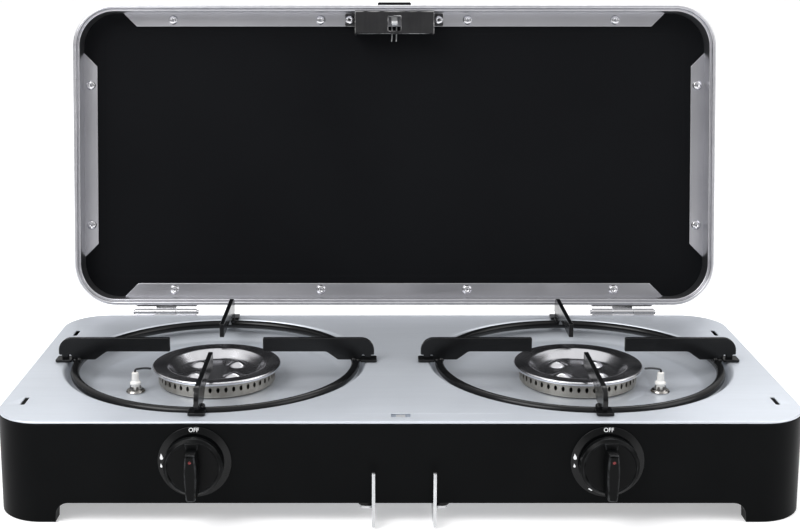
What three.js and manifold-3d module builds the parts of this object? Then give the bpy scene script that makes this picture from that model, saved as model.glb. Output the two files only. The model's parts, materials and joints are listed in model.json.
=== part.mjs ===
// Two-burner camping stove with a folding lid. Millimetres, +Z up, +X right, +Y to the back.
// The model is laid out from the middle of the front face on the floor, and is centred at the end.
import * as THREE from 'three';
import { mergeVertices } from 'three/addons/utils/BufferGeometryUtils.js';
import Module from 'manifold-3d';

const wasm = await Module();
wasm.setup();

// ---------- driving dimensions ----------

const gap = 0.3; // between pieces that touch
const sides = [['left', -1], ['right', 1]];

const casing = {
  width: 560, depth: 262, height: 72, corner: 34, sheet: 1.2, lip: 11,
  skirtRise: 13.6, footLength: 44, footFillet: 8.5,
};
const plate = {
  sheet: 1, slotLength: 16, slotWidth: 3.5, slotInset: 15, slotFront: 42, slotBack: 54,
};
const burner = { spacing: 280, fromFront: 134 };
const well = {
  radius: 115, wallInset: 2.5, wallDrop: 7, creaseInset: 18, creaseDrop: 16, floorDrop: 16.8,
  collarGap: 1, collarSlope: 1.5, collarRise: 1, flange: 4,
};
const cup = {
  radius: 45, sheet: 1.6, neckRadius: 20, underTube: 2, ports: 48, portWidth: 1.8, portHeight: 3,
};
const cap = {
  overhang: 4.5, sheet: 1.2, drop: 1.5, rimHeight: 1.6, dishInset: 7, floorInset: 15,
  dishDepth: 7, bossRadius: 8.5, bossCircle: 21, bossRise: 3.6,
};
const pan = {
  ringRadius: 107.5, rod: 3.3, ringDrop: 2.3, armInner: 36, armOuter: 122, armTop: 18.5,
  armUnder: 7.6, slopeInner: 85, slopeOuter: 94, armSheet: 3.5, armCorner: 10, footWidth: 12,
  footReach: 124, footSheet: 2, ringGap: 3.7,
};
const electrode = {
  across: 59, forward: 25, radius: 3.2, top: 71, bottom: 38, shoulder: 4.2,
  nutRadius: 7.6, nutHeight: 5, wireRadius: 0.8, wireReach: 12.5, wireRise: 2,
};
const gas = {
  axisHeight: 44, valveWidth: 22, valveFront: 6, valveBack: 28, valveRise: 11, neckRadius: 6.5,
  boreRadius: 3.8, boreEnd: 20, outletRadius: 5.5, outletLength: 5, jetRadius: 6, jetLength: 9,
  tubeRadius: 8, tubeSheet: 1.2, bellRadius: 11, bellLength: 9, airGap: 2.5,
  railRadius: 4, railBore: 3, railHeight: 28, railBend: 40, inletFromSide: 50,
  nozzleRadius: 6, nozzleReach: 24, nozzleNut: 9,
};
const igniter = { width: 14, length: 32, height: 14, overRail: 5, lead: 1.5 };
const knob = {
  radius: 20, discDepth: 6.5, total: 19.1, gripWidth: 10, gripTop: 14, travel: 3,
  hubDepth: 9, stemRadius: 3, stemInside: 16,
};
const dial = { radius: 25, depth: 2, hole: 8.5 };
const collar = { radius: 7, depth: 1.4 };
const hinge = {
  spacing: 400, width: 54, knuckle: 3.1, bore: 1.6, pin: 1.3, pinOver: 1.6, leaf: 1.2,
  leafHeight: 20, axisBack: 6, axisRise: 1,
};
const lid = {
  openAngle: 98, corner: 36, rimGap: 0.8, depth: 25, wall: 3.2, ridgeInset: 5.2, ridgeStart: 2.5,
  flangeInset: 17, flangeStart: 20.5, flangeSheet: 1.5, flangeEnd: 40, panelSheet: 1,
  lipInset: 8,
};
const latch = {
  bracketWidth: 69, bracketHeight: 19.5, sheet: 1.2, face: 0.5, footWidth: 9, windowWidth: 11,
  windowHeight: 13, travel: 4, hookWidth: 5, hookFromEdge: 16, hookSheet: 2, barb: 2.2,
  hookDepth: 4.6, slotWidth: 13.4, carrierWidth: 20, carrierSheet: 2, carrierDepth: 8.5,
  tabWidth: 29, tabSheet: 3, tabProud: 3.2, springRadius: 0.6, springHalf: 2, springReach: 31,
};
const hook = {
  spacing: 41.4, centre: 2, sheet: 2.2, ahead: 12, uprightDepth: 3.2, top: 40, back: 50,
  flangeBase: 9, flangeSheet: 2, flangeWidth: 8, flangeBack: 34,
};

// ---------- places worked out from them ----------

const plateTop = casing.height;
const shellTop = plateTop - plate.sheet - gap;
const wellFloor = plateTop - well.floorDrop;
const collarTop = wellFloor + well.collarRise;
const cupBottom = collarTop + gap;
const capTop = plateTop - cap.drop;
const cupTop = capTop - cap.sheet - gap;
const neckBottom = gas.axisHeight - gas.tubeRadius - cup.underTube;
const capRadius = cup.radius + cap.overhang;
const dishRadius = cup.radius - cap.dishInset;
const capFloorRadius = cup.radius - cap.floorInset;
const igniterBottom = gas.railHeight + gas.railRadius + igniter.overRail;
const valveHalf = gas.valveWidth / 2;
const valveMiddle = (gas.valveFront + gas.valveBack) / 2;
const jetFront = gas.valveBack + gas.outletLength + gap;
const knobBack = -(dial.depth + gap + knob.travel + 2 * gap);
const knobFront = knobBack - knob.total;
const hingeY = casing.depth + hinge.axisBack;
const hingeZ = plateTop + hinge.axisRise;
const rimPlane = lid.rimGap - hinge.axisRise; // above the hinge axis, with the lid shut
const lidFront = -hinge.axisBack - casing.depth; // from the hinge axis, with the lid shut
const electrodeRadius = Math.hypot(electrode.across, electrode.forward);
const collarFoot = electrodeRadius - electrode.nutRadius - well.collarGap;

// ---------- finishes ----------

const finishes = {
  blackPaint: { color: 0x1b1d1f, roughness: 0.45, metalness: 0.2 },
  satinSteel: { color: 0xb2bac4, roughness: 0.3, metalness: 0.9 },
  aluminium: { color: 0xb9babd, roughness: 0.35, metalness: 1 },
  chrome: { color: 0xd8d8da, roughness: 0.12, metalness: 1 },
  mirrorSteel: { color: 0xc4c4c6, roughness: 0.15, metalness: 1 },
  blackEnamel: { color: 0x16181a, roughness: 0.4, metalness: 0.1 },
  brass: { color: 0xb08d4a, roughness: 0.35, metalness: 1 },
  ceramic: { color: 0xe8e6e0, roughness: 0.35, metalness: 0 },
  blackPlastic: { color: 0x111213, roughness: 0.5, metalness: 0 },
  steel: { color: 0x9a9c9e, roughness: 0.4, metalness: 1 },
  whiteSleeve: { color: 0xd9d6cf, roughness: 0.6, metalness: 0 },
};

// ---------- making and joining shapes ----------

function signedVolume(position, index) {
  const [a, b, c] = [new THREE.Vector3(), new THREE.Vector3(), new THREE.Vector3()];
  let volume = 0;
  for (let i = 0; i < index.length; i += 3) {
    a.fromBufferAttribute(position, index[i]);
    b.fromBufferAttribute(position, index[i + 1]);
    c.fromBufferAttribute(position, index[i + 2]);
    volume += a.dot(b.cross(c)) / 6;
  }
  return volume;
}

// One closed mesh with shared corners and its faces pointing out.
function closed(geometry) {
  const bare = geometry.clone();
  bare.deleteAttribute('normal');
  bare.deleteAttribute('uv');
  const merged = mergeVertices(bare, 1e-4);
  const found = merged.index.array;
  const kept = [];
  for (let i = 0; i < found.length; i += 3) {
    const [a, b, c] = [found[i], found[i + 1], found[i + 2]];
    if (a !== b && b !== c && c !== a) kept.push(a, b, c);
  }
  if (signedVolume(merged.attributes.position, kept) < 0) kept.reverse();
  merged.setIndex(kept);
  return merged;
}

function toSolid(geometry) {
  const mesh = closed(geometry);
  return new wasm.Manifold(new wasm.Mesh({
    numProp: 3,
    vertProperties: new Float32Array(mesh.attributes.position.array),
    triVerts: new Uint32Array(mesh.index.array),
  }));
}

function toGeometry(solid) {
  const mesh = solid.getMesh();
  const geometry = new THREE.BufferGeometry();
  geometry.setAttribute('position', new THREE.BufferAttribute(mesh.vertProperties, 3));
  geometry.setIndex(new THREE.BufferAttribute(mesh.triVerts, 1));
  return geometry;
}

function join(...shapes) {
  return toGeometry(shapes.map(toSolid).reduce((a, b) => a.add(b)));
}

function cut(shape, ...tools) {
  return toGeometry(tools.map(toSolid).reduce((a, b) => a.subtract(b), toSolid(shape)));
}

function block(x0, x1, y0, y1, z0, z1) {
  const box = new THREE.BoxGeometry(x1 - x0, y1 - y0, z1 - z0);
  return box.translate((x0 + x1) / 2, (y0 + y1) / 2, (z0 + z1) / 2);
}

function rodAlongX(radius, x0, x1, y, z, count = 12) {
  const rod = new THREE.CylinderGeometry(radius, radius, x1 - x0, count).rotateZ(Math.PI / 2);
  return rod.translate((x0 + x1) / 2, y, z);
}

function rodAlongY(radius, y0, y1, x, z, count = 16) {
  const rod = new THREE.CylinderGeometry(radius, radius, y1 - y0, count);
  return rod.translate(x, (y0 + y1) / 2, z);
}

function rodAlongZ(radius, z0, z1, x, y, count = 16) {
  const rod = new THREE.CylinderGeometry(radius, radius, z1 - z0, count).rotateX(Math.PI / 2);
  return rod.translate(x, y, (z0 + z1) / 2);
}

// Turned shapes: pairs of radius and height, about +Z or about +Y.
function turnedZ(pairs, count, x = 0, y = 0) {
  const points = pairs.map(([r, h]) => new THREE.Vector2(r, h));
  return new THREE.LatheGeometry(points, count).rotateX(Math.PI / 2).translate(x, y, 0);
}

function turnedY(pairs, count, x, z) {
  const points = pairs.map(([r, h]) => new THREE.Vector2(r, h));
  return new THREE.LatheGeometry(points, count).translate(x, 0, z);
}

function polygon(pairs) {
  return new THREE.Shape(pairs.map(([x, y]) => new THREE.Vector2(x, y)));
}

function roundedRect(x0, x1, y0, y1, radius) {
  const shape = new THREE.Shape();
  shape.absarc(x1 - radius, y0 + radius, radius, -Math.PI / 2, 0);
  shape.absarc(x1 - radius, y1 - radius, radius, 0, Math.PI / 2);
  shape.absarc(x0 + radius, y1 - radius, radius, Math.PI / 2, Math.PI);
  shape.absarc(x0 + radius, y0 + radius, radius, Math.PI, 1.5 * Math.PI);
  return shape;
}

const extruded = (shape, depth, curveSegments) =>
  new THREE.ExtrudeGeometry(shape, { depth, bevelEnabled: false, curveSegments });

// A flat shape in X and Y, made thick along Z.
function slab(shape, z0, z1, curveSegments = 3) {
  return extruded(shape, z1 - z0, curveSegments).translate(0, 0, z0);
}

// A flat shape in Y and Z, made thick along X.
function acrossX(shape, x0, x1, curveSegments = 3) {
  const basis = new THREE.Matrix4().makeBasis(
    new THREE.Vector3(0, 1, 0), new THREE.Vector3(0, 0, 1), new THREE.Vector3(1, 0, 0));
  return extruded(shape, x1 - x0, curveSegments).applyMatrix4(basis).translate(x0, 0, 0);
}

// A flat shape in X and Z, made thick along Y.
function acrossY(shape, y0, y1, curveSegments = 3) {
  const basis = new THREE.Matrix4().makeBasis(
    new THREE.Vector3(1, 0, 0), new THREE.Vector3(0, 0, 1), new THREE.Vector3(0, -1, 0));
  return extruded(shape, y1 - y0, curveSegments).applyMatrix4(basis).translate(0, y1, 0);
}

// A round tube or wire along a path.
function along(path, radius, steps, count, bore = 0) {
  const ring = (r) => Array.from({ length: count }, (_, i) => {
    const turn = (2 * Math.PI * i) / count;
    return new THREE.Vector2(r * Math.cos(turn), r * Math.sin(turn));
  });
  const shape = new THREE.Shape(ring(radius));
  if (bore) shape.holes.push(new THREE.Path(ring(bore).reverse()));
  return new THREE.ExtrudeGeometry(shape, { steps, extrudePath: path, bevelEnabled: false });
}

function smoothPath(points) {
  return new THREE.CatmullRomCurve3(points.map((p) => new THREE.Vector3(...p)), false, 'chordal');
}

// The closed outline of a sheet whose upper side runs from its outer edge inwards.
function sheetOutline(upper, thickness) {
  const lower = upper.map(([r, z], i) => {
    const before = upper[Math.max(i - 1, 0)];
    const after = upper[Math.min(i + 1, upper.length - 1)];
    const normal = (from, to) => {
      const step = new THREE.Vector2(to[0] - from[0], to[1] - from[1]).normalize();
      return new THREE.Vector2(-step.y, step.x);
    };
    const first = i ? normal(before, upper[i]) : normal(upper[i], after);
    const second = i < upper.length - 1 ? normal(upper[i], after) : first;
    const mitre = first.clone().add(second).normalize();
    mitre.multiplyScalar(thickness / mitre.dot(first));
    return [r + mitre.x, z + mitre.y];
  });
  return [...upper, ...lower.reverse(), upper[0]];
}

function add(parent, name, shape, finish) {
  const mesh = new THREE.Mesh(closed(shape), new THREE.MeshStandardMaterial(finishes[finish]));
  mesh.name = name;
  parent.add(mesh);
}

// ---------- casing ----------

const floorOutline = (inset) => roundedRect(
  -casing.width / 2 + inset, casing.width / 2 - inset, inset, casing.depth - inset,
  casing.corner - inset);

// The gap between two feet, seen side on, with rounded upper corners.
function footGap(low, high) {
  const shape = new THREE.Shape();
  const top = casing.skirtRise;
  shape.moveTo(low, -1);
  shape.lineTo(high, -1);
  shape.lineTo(high, top - casing.footFillet);
  shape.absarc(high - casing.footFillet, top - casing.footFillet, casing.footFillet, 0, Math.PI / 2);
  shape.absarc(
    low + casing.footFillet, top - casing.footFillet, casing.footFillet, Math.PI / 2, Math.PI);
  shape.lineTo(low, -1);
  return shape;
}

function baseShell() {
  const { sheet, lip, width, depth, footLength, skirtRise } = casing;
  const inner = sheet + lip;
  const through = floorOutline(inner);
  const walls = cut(
    slab(floorOutline(0), 0, shellTop),
    slab(floorOutline(sheet), sheet, shellTop - sheet),
    slab(through, -1, shellTop + 1),
    acrossY(footGap(-width / 2 + footLength, width / 2 - footLength), -1, depth + 1),
    acrossX(footGap(footLength, depth - footLength), -width / 2 - 1, width / 2 + 1));
  const hem = cut(
    slab(floorOutline(sheet / 2), skirtRise, skirtRise + sheet),
    slab(through, skirtRise - 1, skirtRise + sheet + 1));
  const inletX = width / 2 - gas.inletFromSide;
  const hookRoom = latch.slotWidth / 2 + 2;
  const wellRoom = well.radius + 2 * plate.sheet;
  return cut(
    join(walls, hem),
    ...sides.map(([, side]) => rodAlongZ(
      wellRoom, shellTop - sheet - 1, shellTop + 1, (side * burner.spacing) / 2,
      burner.fromFront, 40)),
    ...sides.map(([, side]) => rodAlongY(
      dial.hole, -1, sheet + 1, (side * burner.spacing) / 2, gas.axisHeight, 16)),
    rodAlongY(gas.nozzleRadius + gap, depth - sheet - 1, depth + 1, inletX, gas.railHeight),
    block(-hookRoom, hookRoom, sheet + 3, inner + 6, shellTop - sheet - 1, shellTop + 1));
}

// ---------- top plate with its two wells ----------

const wellSurface = () => {
  const inner = cup.neckRadius + 1;
  return [
    [well.radius + well.flange, plateTop],
    [well.radius, plateTop],
    [well.radius - well.wallInset, plateTop - well.wallDrop],
    [well.radius - well.creaseInset, plateTop - well.creaseDrop],
    [collarFoot, wellFloor],
    [collarFoot - well.collarSlope, collarTop],
    [inner, collarTop],
  ];
};

function topPlate() {
  const low = plateTop - plate.sheet;
  const outline = floorOutline(0);
  const holes = [];
  const wells = [];
  for (const [, side] of sides) {
    const x = (side * burner.spacing) / 2;
    holes.push(rodAlongZ(well.radius + well.flange / 2, low - 1, plateTop + 1, x,
      burner.fromFront, 36));
    wells.push(turnedZ(sheetOutline(wellSurface(), plate.sheet), 36, x, burner.fromFront));
  }
  const openings = [];
  for (const [, side] of sides) {
    const slotX = side * (casing.width / 2 - plate.slotInset);
    for (const y of [plate.slotFront, casing.depth - plate.slotBack]) {
      openings.push(block(slotX - plate.slotWidth / 2, slotX + plate.slotWidth / 2,
        y - plate.slotLength / 2, y + plate.slotLength / 2, low - 1, plateTop + 1));
    }
    openings.push(rodAlongZ(electrode.radius + 1, wellFloor - 9, wellFloor + 9,
      side * (burner.spacing / 2 + electrode.across), burner.fromFront - electrode.forward));
  }
  const slotEnd = latch.hookFromEdge + 2 * gap;
  const slotStart = latch.hookFromEdge - latch.hookSheet - latch.travel - 2 * gap;
  openings.push(block(-latch.slotWidth / 2, latch.slotWidth / 2, slotStart, slotEnd,
    low - 1, plateTop + 1));
  return cut(join(cut(slab(outline, low, plateTop), ...holes), ...wells), ...openings);
}

// ---------- burners ----------

function burnerCup(x) {
  const { radius, sheet, neckRadius, ports, portWidth, portHeight } = cup;
  const body = turnedZ([
    [0, neckBottom], [neckRadius, neckBottom], [neckRadius, cupBottom], [radius, cupBottom],
    [radius, cupTop], [radius - sheet, cupTop], [radius - sheet, cupBottom + sheet],
    [neckRadius - sheet, cupBottom + sheet], [neckRadius - sheet, neckBottom + sheet],
    [0, neckBottom + sheet],
  ], 24);
  const middle = (cupBottom + cupTop) / 2;
  const slots = [];
  for (let i = 0; i < ports / 2; i += 1) {
    const slot = new THREE.BoxGeometry(2 * radius + 4, portWidth, portHeight);
    slots.push(slot.rotateZ(((i + 0.5) * 2 * Math.PI) / ports).translate(0, 0, middle));
  }
  const inlet = rodAlongY(gas.tubeRadius + gap, -neckRadius - 2, 0, 0, gas.axisHeight, 20);
  return cut(body, ...slots, inlet).translate(x, burner.fromFront, 0);
}

// A dished cap with a turned-down rim and four pressed bosses on its floor.
function burnerCap(x) {
  const { sheet, rimHeight } = cap;
  const radius = capRadius;
  const floor = capTop - cap.dishDepth;
  const dish = turnedZ([
    [0, floor], [capFloorRadius, floor], [dishRadius, capTop], [radius - 1, capTop],
    [radius, capTop - 1], [radius, capTop - rimHeight - sheet],
    [radius - 1, capTop - rimHeight - sheet], [radius - 1, capTop - sheet],
    [dishRadius - sheet, capTop - sheet], [capFloorRadius - sheet, floor - sheet],
    [0, floor - sheet],
  ], 32);
  const bosses = [45, 135, 225, 315].map((degrees) => {
    const boss = new THREE.SphereGeometry(cap.bossRadius, 10, 4)
      .scale(1, 1, cap.bossRise / cap.bossRadius);
    const turn = THREE.MathUtils.degToRad(degrees);
    return boss.translate(
      cap.bossCircle * Math.cos(turn), cap.bossCircle * Math.sin(turn), floor);
  });
  return join(dish, ...bosses).translate(x, burner.fromFront, 0);
}

function mixingTube(x) {
  const { tubeRadius, tubeSheet, bellRadius, bellLength } = gas;
  const start = jetFront + gas.jetLength + gas.airGap - 4;
  const end = burner.fromFront - cup.neckRadius + cup.sheet / 2;
  return turnedY([
    [bellRadius, start], [tubeRadius, start + bellLength], [tubeRadius, end],
    [tubeRadius - tubeSheet, end], [tubeRadius - tubeSheet, start + bellLength],
    [bellRadius - tubeSheet, start], [bellRadius, start],
  ], 20, x, gas.axisHeight);
}

// ---------- gas train ----------

function valveBody(x) {
  const z = gas.axisHeight;
  const low = gas.railHeight + gas.railRadius + gap;
  const high = z + gas.valveRise;
  return cut(
    join(
      block(x - valveHalf, x + valveHalf, gas.valveFront, gas.valveBack, low, high),
      rodAlongY(gas.neckRadius, casing.sheet + gap, gas.valveFront + 1, x, z, 20),
      rodAlongY(gas.outletRadius, gas.valveBack - 1, gas.valveBack + gas.outletLength, x, z)),
    rodAlongY(gas.boreRadius, casing.sheet - 1, gas.boreEnd, x, z, 20));
}

function jet(x) {
  const nose = gas.jetRadius / 2;
  const middle = jetFront + gas.jetLength * 0.45;
  const end = jetFront + gas.jetLength;
  return cut(
    join(
      rodAlongY(gas.jetRadius, jetFront, middle, x, gas.axisHeight, 6),
      rodAlongY(nose, middle - 1, end, x, gas.axisHeight, 12)),
    rodAlongY(1, jetFront - 1, end + 1, x, gas.axisHeight, 8));
}

// The rail runs below both valves, bends at the right and goes back to the hose nozzle.
function gasPipe() {
  const { railHeight: z, railBend: bend, railRadius, railBore } = gas;
  const x0 = -burner.spacing / 2 - valveHalf;
  const x1 = casing.width / 2 - gas.inletFromSide;
  const end = casing.depth - casing.sheet - 14;
  const at = (x, y) => new THREE.Vector3(x, y, z);
  const path = new THREE.CurvePath();
  path.add(new THREE.LineCurve3(at(x0, valveMiddle), at(x1 - bend, valveMiddle)));
  path.add(new THREE.QuadraticBezierCurve3(
    at(x1 - bend, valveMiddle), at(x1, valveMiddle), at(x1, valveMiddle + bend)));
  path.add(new THREE.LineCurve3(at(x1, valveMiddle + bend), at(x1, end)));
  return along(path, railRadius, 24, 8, railBore);
}

function hoseNozzle() {
  const { nozzleRadius: r, nozzleReach: reach, railBore: bore, nozzleNut: nut } = gas;
  const x = casing.width / 2 - gas.inletFromSide;
  const start = casing.depth - casing.sheet - 14 + gap;
  const wall = casing.depth - casing.sheet - gap;
  const barb = reach / 4;
  const back = casing.depth;
  const profile = [[bore, start], [r, start], [r, back + 2]];
  for (let i = 0; i < 3; i += 1) {
    const y = back + 2 + i * barb;
    profile.push([r - 1.5, y], [r, y + 1], [r - 1.5, y + barb]);
  }
  profile.push([bore, back + 2 + 3 * barb], [bore, start]);
  return join(
    turnedY(profile, 12, x, gas.railHeight),
    cut(
      rodAlongY(nut, wall - 8, wall, x, gas.railHeight, 6),
      rodAlongY(bore, wall - 9, wall + 1, x, gas.railHeight, 12)));
}

// ---------- ignition ----------

const electrodeX = (side) => side * (burner.spacing / 2 + electrode.across);
const electrodeY = burner.fromFront - electrode.forward;
const nutBottom = () => {
  const outer = well.radius - well.creaseInset;
  const share = (electrodeRadius + electrode.nutRadius - collarFoot) / (outer - collarFoot);
  return wellFloor + share * (well.floorDrop - well.creaseDrop) + gap;
};

function electrodeBody(side) {
  const { radius, top, bottom, shoulder } = electrode;
  const nutTop = nutBottom() + electrode.nutHeight + gap;
  return turnedZ([
    [0, bottom], [radius, bottom], [radius, nutTop], [shoulder, nutTop + 0.5],
    [shoulder, nutTop + 2], [radius - 0.3, nutTop + 3.5], [radius - 0.6, top], [0, top],
  ], 16, electrodeX(side), electrodeY);
}

function electrodeNut(side) {
  const low = nutBottom();
  const [x, y] = [electrodeX(side), electrodeY];
  return cut(
    rodAlongZ(electrode.nutRadius, low, low + electrode.nutHeight, x, y, 6),
    rodAlongZ(electrode.radius + gap, low - 1, low + electrode.nutHeight + 1, x, y, 16));
}

// The wire leaves the top of the ceramic and bends over towards the burner's rim.
function electrodeTip(side) {
  const [x, y] = [electrodeX(side), electrodeY];
  const towards = new THREE.Vector2(-side * electrode.across, electrode.forward).normalize();
  const at = (reach, height) => [
    x + towards.x * reach, y + towards.y * reach, electrode.top + gap + height];
  const { wireRise: rise, wireReach: reach } = electrode;
  const path = smoothPath([
    at(0, 0), at(0, rise * 0.6), at(rise * 0.6, rise), at(reach * 0.6, rise),
    at(reach, rise * 0.55)]);
  return along(path, electrode.wireRadius, 10, 6);
}

function igniterBox(side) {
  const near = burner.spacing / 2 + valveHalf + gap;
  const [x0, x1] = [side * near, side * (near + igniter.width)].sort((a, b) => a - b);
  return block(x0, x1, gas.valveFront, gas.valveFront + igniter.length, igniterBottom,
    igniterBottom + igniter.height);
}

function ignitionLead(side) {
  const x = side * (burner.spacing / 2 + valveHalf + gap + igniter.width / 2);
  const y = gas.valveFront + igniter.length + gap;
  const z = igniterBottom + igniter.height / 2;
  const low = electrode.bottom;
  const [endX, endY] = [electrodeX(side), electrodeY];
  const path = smoothPath([
    [x, y, z], [x, y + 12, z - 1], [(x + endX) / 2, (y + endY) / 2, low - 8],
    [endX - side * 1, endY - 10, low - 13], [endX, endY, low - 8], [endX, endY, low - gap]]);
  return along(path, igniter.lead, 18, 6);
}

// ---------- knobs ----------

function knobShape(x) {
  const z = gas.axisHeight;
  const { radius, discDepth, gripWidth, gripTop, hubDepth } = knob;
  const discFront = knobBack - discDepth;
  const disc = turnedY([
    [0, knobBack], [radius, knobBack], [radius, discFront + 1.5], [radius - 1.5, discFront],
    [0, discFront],
  ], 32, x, z);
  const grip = new THREE.Shape();
  const half = gripWidth / 2;
  grip.moveTo(-half * 0.8, gripTop);
  grip.lineTo(-half, gripTop - 5);
  grip.lineTo(-half, -radius + 5);
  grip.absarc(0, -radius + 5, half, Math.PI, 2 * Math.PI);
  grip.lineTo(half, gripTop - 5);
  grip.lineTo(half * 0.8, gripTop);
  const bar = acrossY(grip, knobFront, discFront + 1).translate(x, 0, z);
  const pointer = block(x - half * 0.8, x + half * 0.8, discFront - 2, discFront + 1,
    z + gripTop - 1, z + radius - 2);
  const bore = rodAlongY(knob.stemRadius + gap, knobBack - hubDepth, knobBack + 1, x, z, 16);
  return cut(join(disc, bar, pointer), bore);
}

function dialPlate(x) {
  const z = gas.axisHeight;
  const { radius, depth, hole } = dial;
  return turnedY([
    [hole, -gap], [radius, -gap], [radius, -gap - depth + 0.8], [radius - 0.8, -gap - depth],
    [hole, -gap - depth], [hole, -gap],
  ], 28, x, z);
}

function pushCollar(x) {
  const back = knobBack + gap + collar.depth;
  const inner = knob.stemRadius + gap;
  return turnedY([
    [inner, knobBack + gap], [collar.radius, knobBack + gap], [collar.radius, back],
    [inner, back], [inner, knobBack + gap],
  ], 20, x, gas.axisHeight);
}

function valveStem(x) {
  return rodAlongY(knob.stemRadius, knobBack - knob.hubDepth + gap, knob.stemInside,
    x, gas.axisHeight, 16);
}

// ---------- pan supports ----------

function panRing(x) {
  const ring = new THREE.TorusGeometry(pan.ringRadius, pan.rod, 8, 36);
  return ring.translate(x, burner.fromFront, plateTop - pan.ringDrop);
}

// One flat arm standing on edge, with the foot that rests on the plate.
function panArm(x, turn) {
  const { armInner, armOuter, armTop, armUnder, slopeInner, slopeOuter, armCorner } = pan;
  const low = pan.rod - pan.ringDrop + gap;
  const arm = new THREE.Shape();
  arm.moveTo(armInner, armUnder);
  arm.lineTo(slopeInner, armUnder);
  arm.lineTo(slopeOuter, low);
  arm.lineTo(armOuter, low);
  arm.absarc(armOuter - armCorner, armTop - armCorner, armCorner, 0, Math.PI / 2);
  arm.lineTo(armInner, armTop);
  const bar = acrossY(arm, -pan.armSheet / 2, pan.armSheet / 2);
  const foot = block(pan.ringRadius + pan.ringGap, pan.footReach, -pan.footWidth / 2,
    pan.footWidth / 2, gap, gap + pan.footSheet);
  return join(bar, foot).rotateZ(turn).translate(x, burner.fromFront, plateTop);
}

// ---------- hinges ----------

// Both leaves are drawn about the hinge axis, with the lid shut.
function knuckle(x0, x1) {
  return cut(
    rodAlongX(hinge.knuckle, x0, x1, 0, 0),
    rodAlongX(hinge.bore, x0 - 1, x1 + 1, 0, 0));
}

function hingeLeaf(x, upward) {
  const { leaf, leafHeight, knuckle: r, width, axisBack } = hinge;
  const third = width / 3;
  const inside = -axisBack + gap;
  const web = upward * (r - leaf);
  const [webLow, webHigh] = [web, upward * r].sort((a, b) => a - b);
  const [low, high] = [upward * r, upward * (r + leafHeight)].sort((a, b) => a - b);
  const [x0, x1] = upward > 0
    ? [x - third / 2 + gap / 2, x + third / 2 - gap / 2]
    : [x - width / 2, x + width / 2];
  const spans = upward > 0
    ? [[x0, x1]]
    : [[x0, x - third / 2 - gap / 2], [x + third / 2 + gap / 2, x1]];
  const parts = spans.map(([a, b]) => join(
    knuckle(a, b),
    cut(
      block(a, b, inside, 0, webLow, webHigh),
      rodAlongX(hinge.bore, a - 1, b + 1, 0, 0))));
  const [plateLow, plateHigh] = upward > 0 ? [webLow, high] : [low, webHigh];
  return join(
    ...parts,
    block(x - width / 2, x + width / 2, inside, inside + leaf, plateLow, plateHigh));
}

function hingePin(x) {
  const { width, pin, pinOver, bore } = hinge;
  const half = width / 2;
  return join(
    rodAlongX(pin, x - half - gap - 1, x + half + gap + 1, hingeY, hingeZ),
    ...[-1, 1].map((end) => rodAlongX(bore + 0.5, x + end * (half + gap) + Math.min(0, end * pinOver),
      x + end * (half + gap) + Math.max(0, end * pinOver), hingeY, hingeZ)));
}

// ---------- lid, drawn shut about the hinge axis ----------

const lidOutline = (inset) => roundedRect(
  -casing.width / 2 + inset, casing.width / 2 - inset, lidFront + inset,
  -hinge.axisBack - inset, lid.corner - inset);

function lidRing(outer, inner, from, to) {
  return cut(
    slab(lidOutline(outer), rimPlane + from, rimPlane + to),
    slab(lidOutline(inner), rimPlane + from - 1, rimPlane + to + 1));
}

// One riveted strip along a straight side, its ends cut at 45 degrees.
function lidStrips() {
  const { wall, flangeInset, flangeStart, flangeSheet, flangeEnd } = lid;
  const low = rimPlane + flangeStart;
  const reach = flangeInset - wall + 1;
  const strip = (length, turn, x, y) => {
    const half = length / 2 - flangeEnd;
    const shape = polygon([
      [-half, 0], [half, 0], [half - reach, reach], [-half + reach, reach]]);
    return slab(shape, low, low + flangeSheet).rotateZ(turn).translate(x, y, 0);
  };
  const inner = wall - 1;
  const middle = (lidFront - hinge.axisBack) / 2;
  const sideX = casing.width / 2 - inner;
  return [
    strip(casing.width, 0, 0, lidFront + inner),
    strip(casing.width, Math.PI, 0, -hinge.axisBack - inner),
    strip(casing.depth, -Math.PI / 2, -sideX, middle),
    strip(casing.depth, Math.PI / 2, sideX, middle),
  ];
}

function lidFrame() {
  const { depth, wall, ridgeInset, ridgeStart, lipInset, flangeStart, flangeSheet } = lid;
  const panelTop = flangeStart + flangeSheet + lid.panelSheet + 2 * gap;
  const slotHalf = latch.tabWidth / 2 + gap * 2;
  const slotLow = rimPlane + latch.carrierDepth - 1;
  return cut(
    join(
      lidRing(0, wall, 0, depth),
      lidRing(wall / 2, ridgeInset, ridgeStart, flangeStart + flangeSheet),
      lidRing(wall / 2, lipInset, panelTop, depth),
      ...lidStrips()),
    block(-slotHalf, slotHalf, lidFront - 1, lidFront + ridgeInset + 1, slotLow,
      slotLow + latch.tabSheet + 1));
}

function lidPanel() {
  const low = rimPlane + lid.flangeStart + lid.flangeSheet + gap;
  return slab(lidOutline(lid.wall + gap), low, low + lid.panelSheet);
}

// ---------- latch, drawn with the lid shut ----------

const bracketFront = lidFront + lid.ridgeInset + gap;

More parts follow.
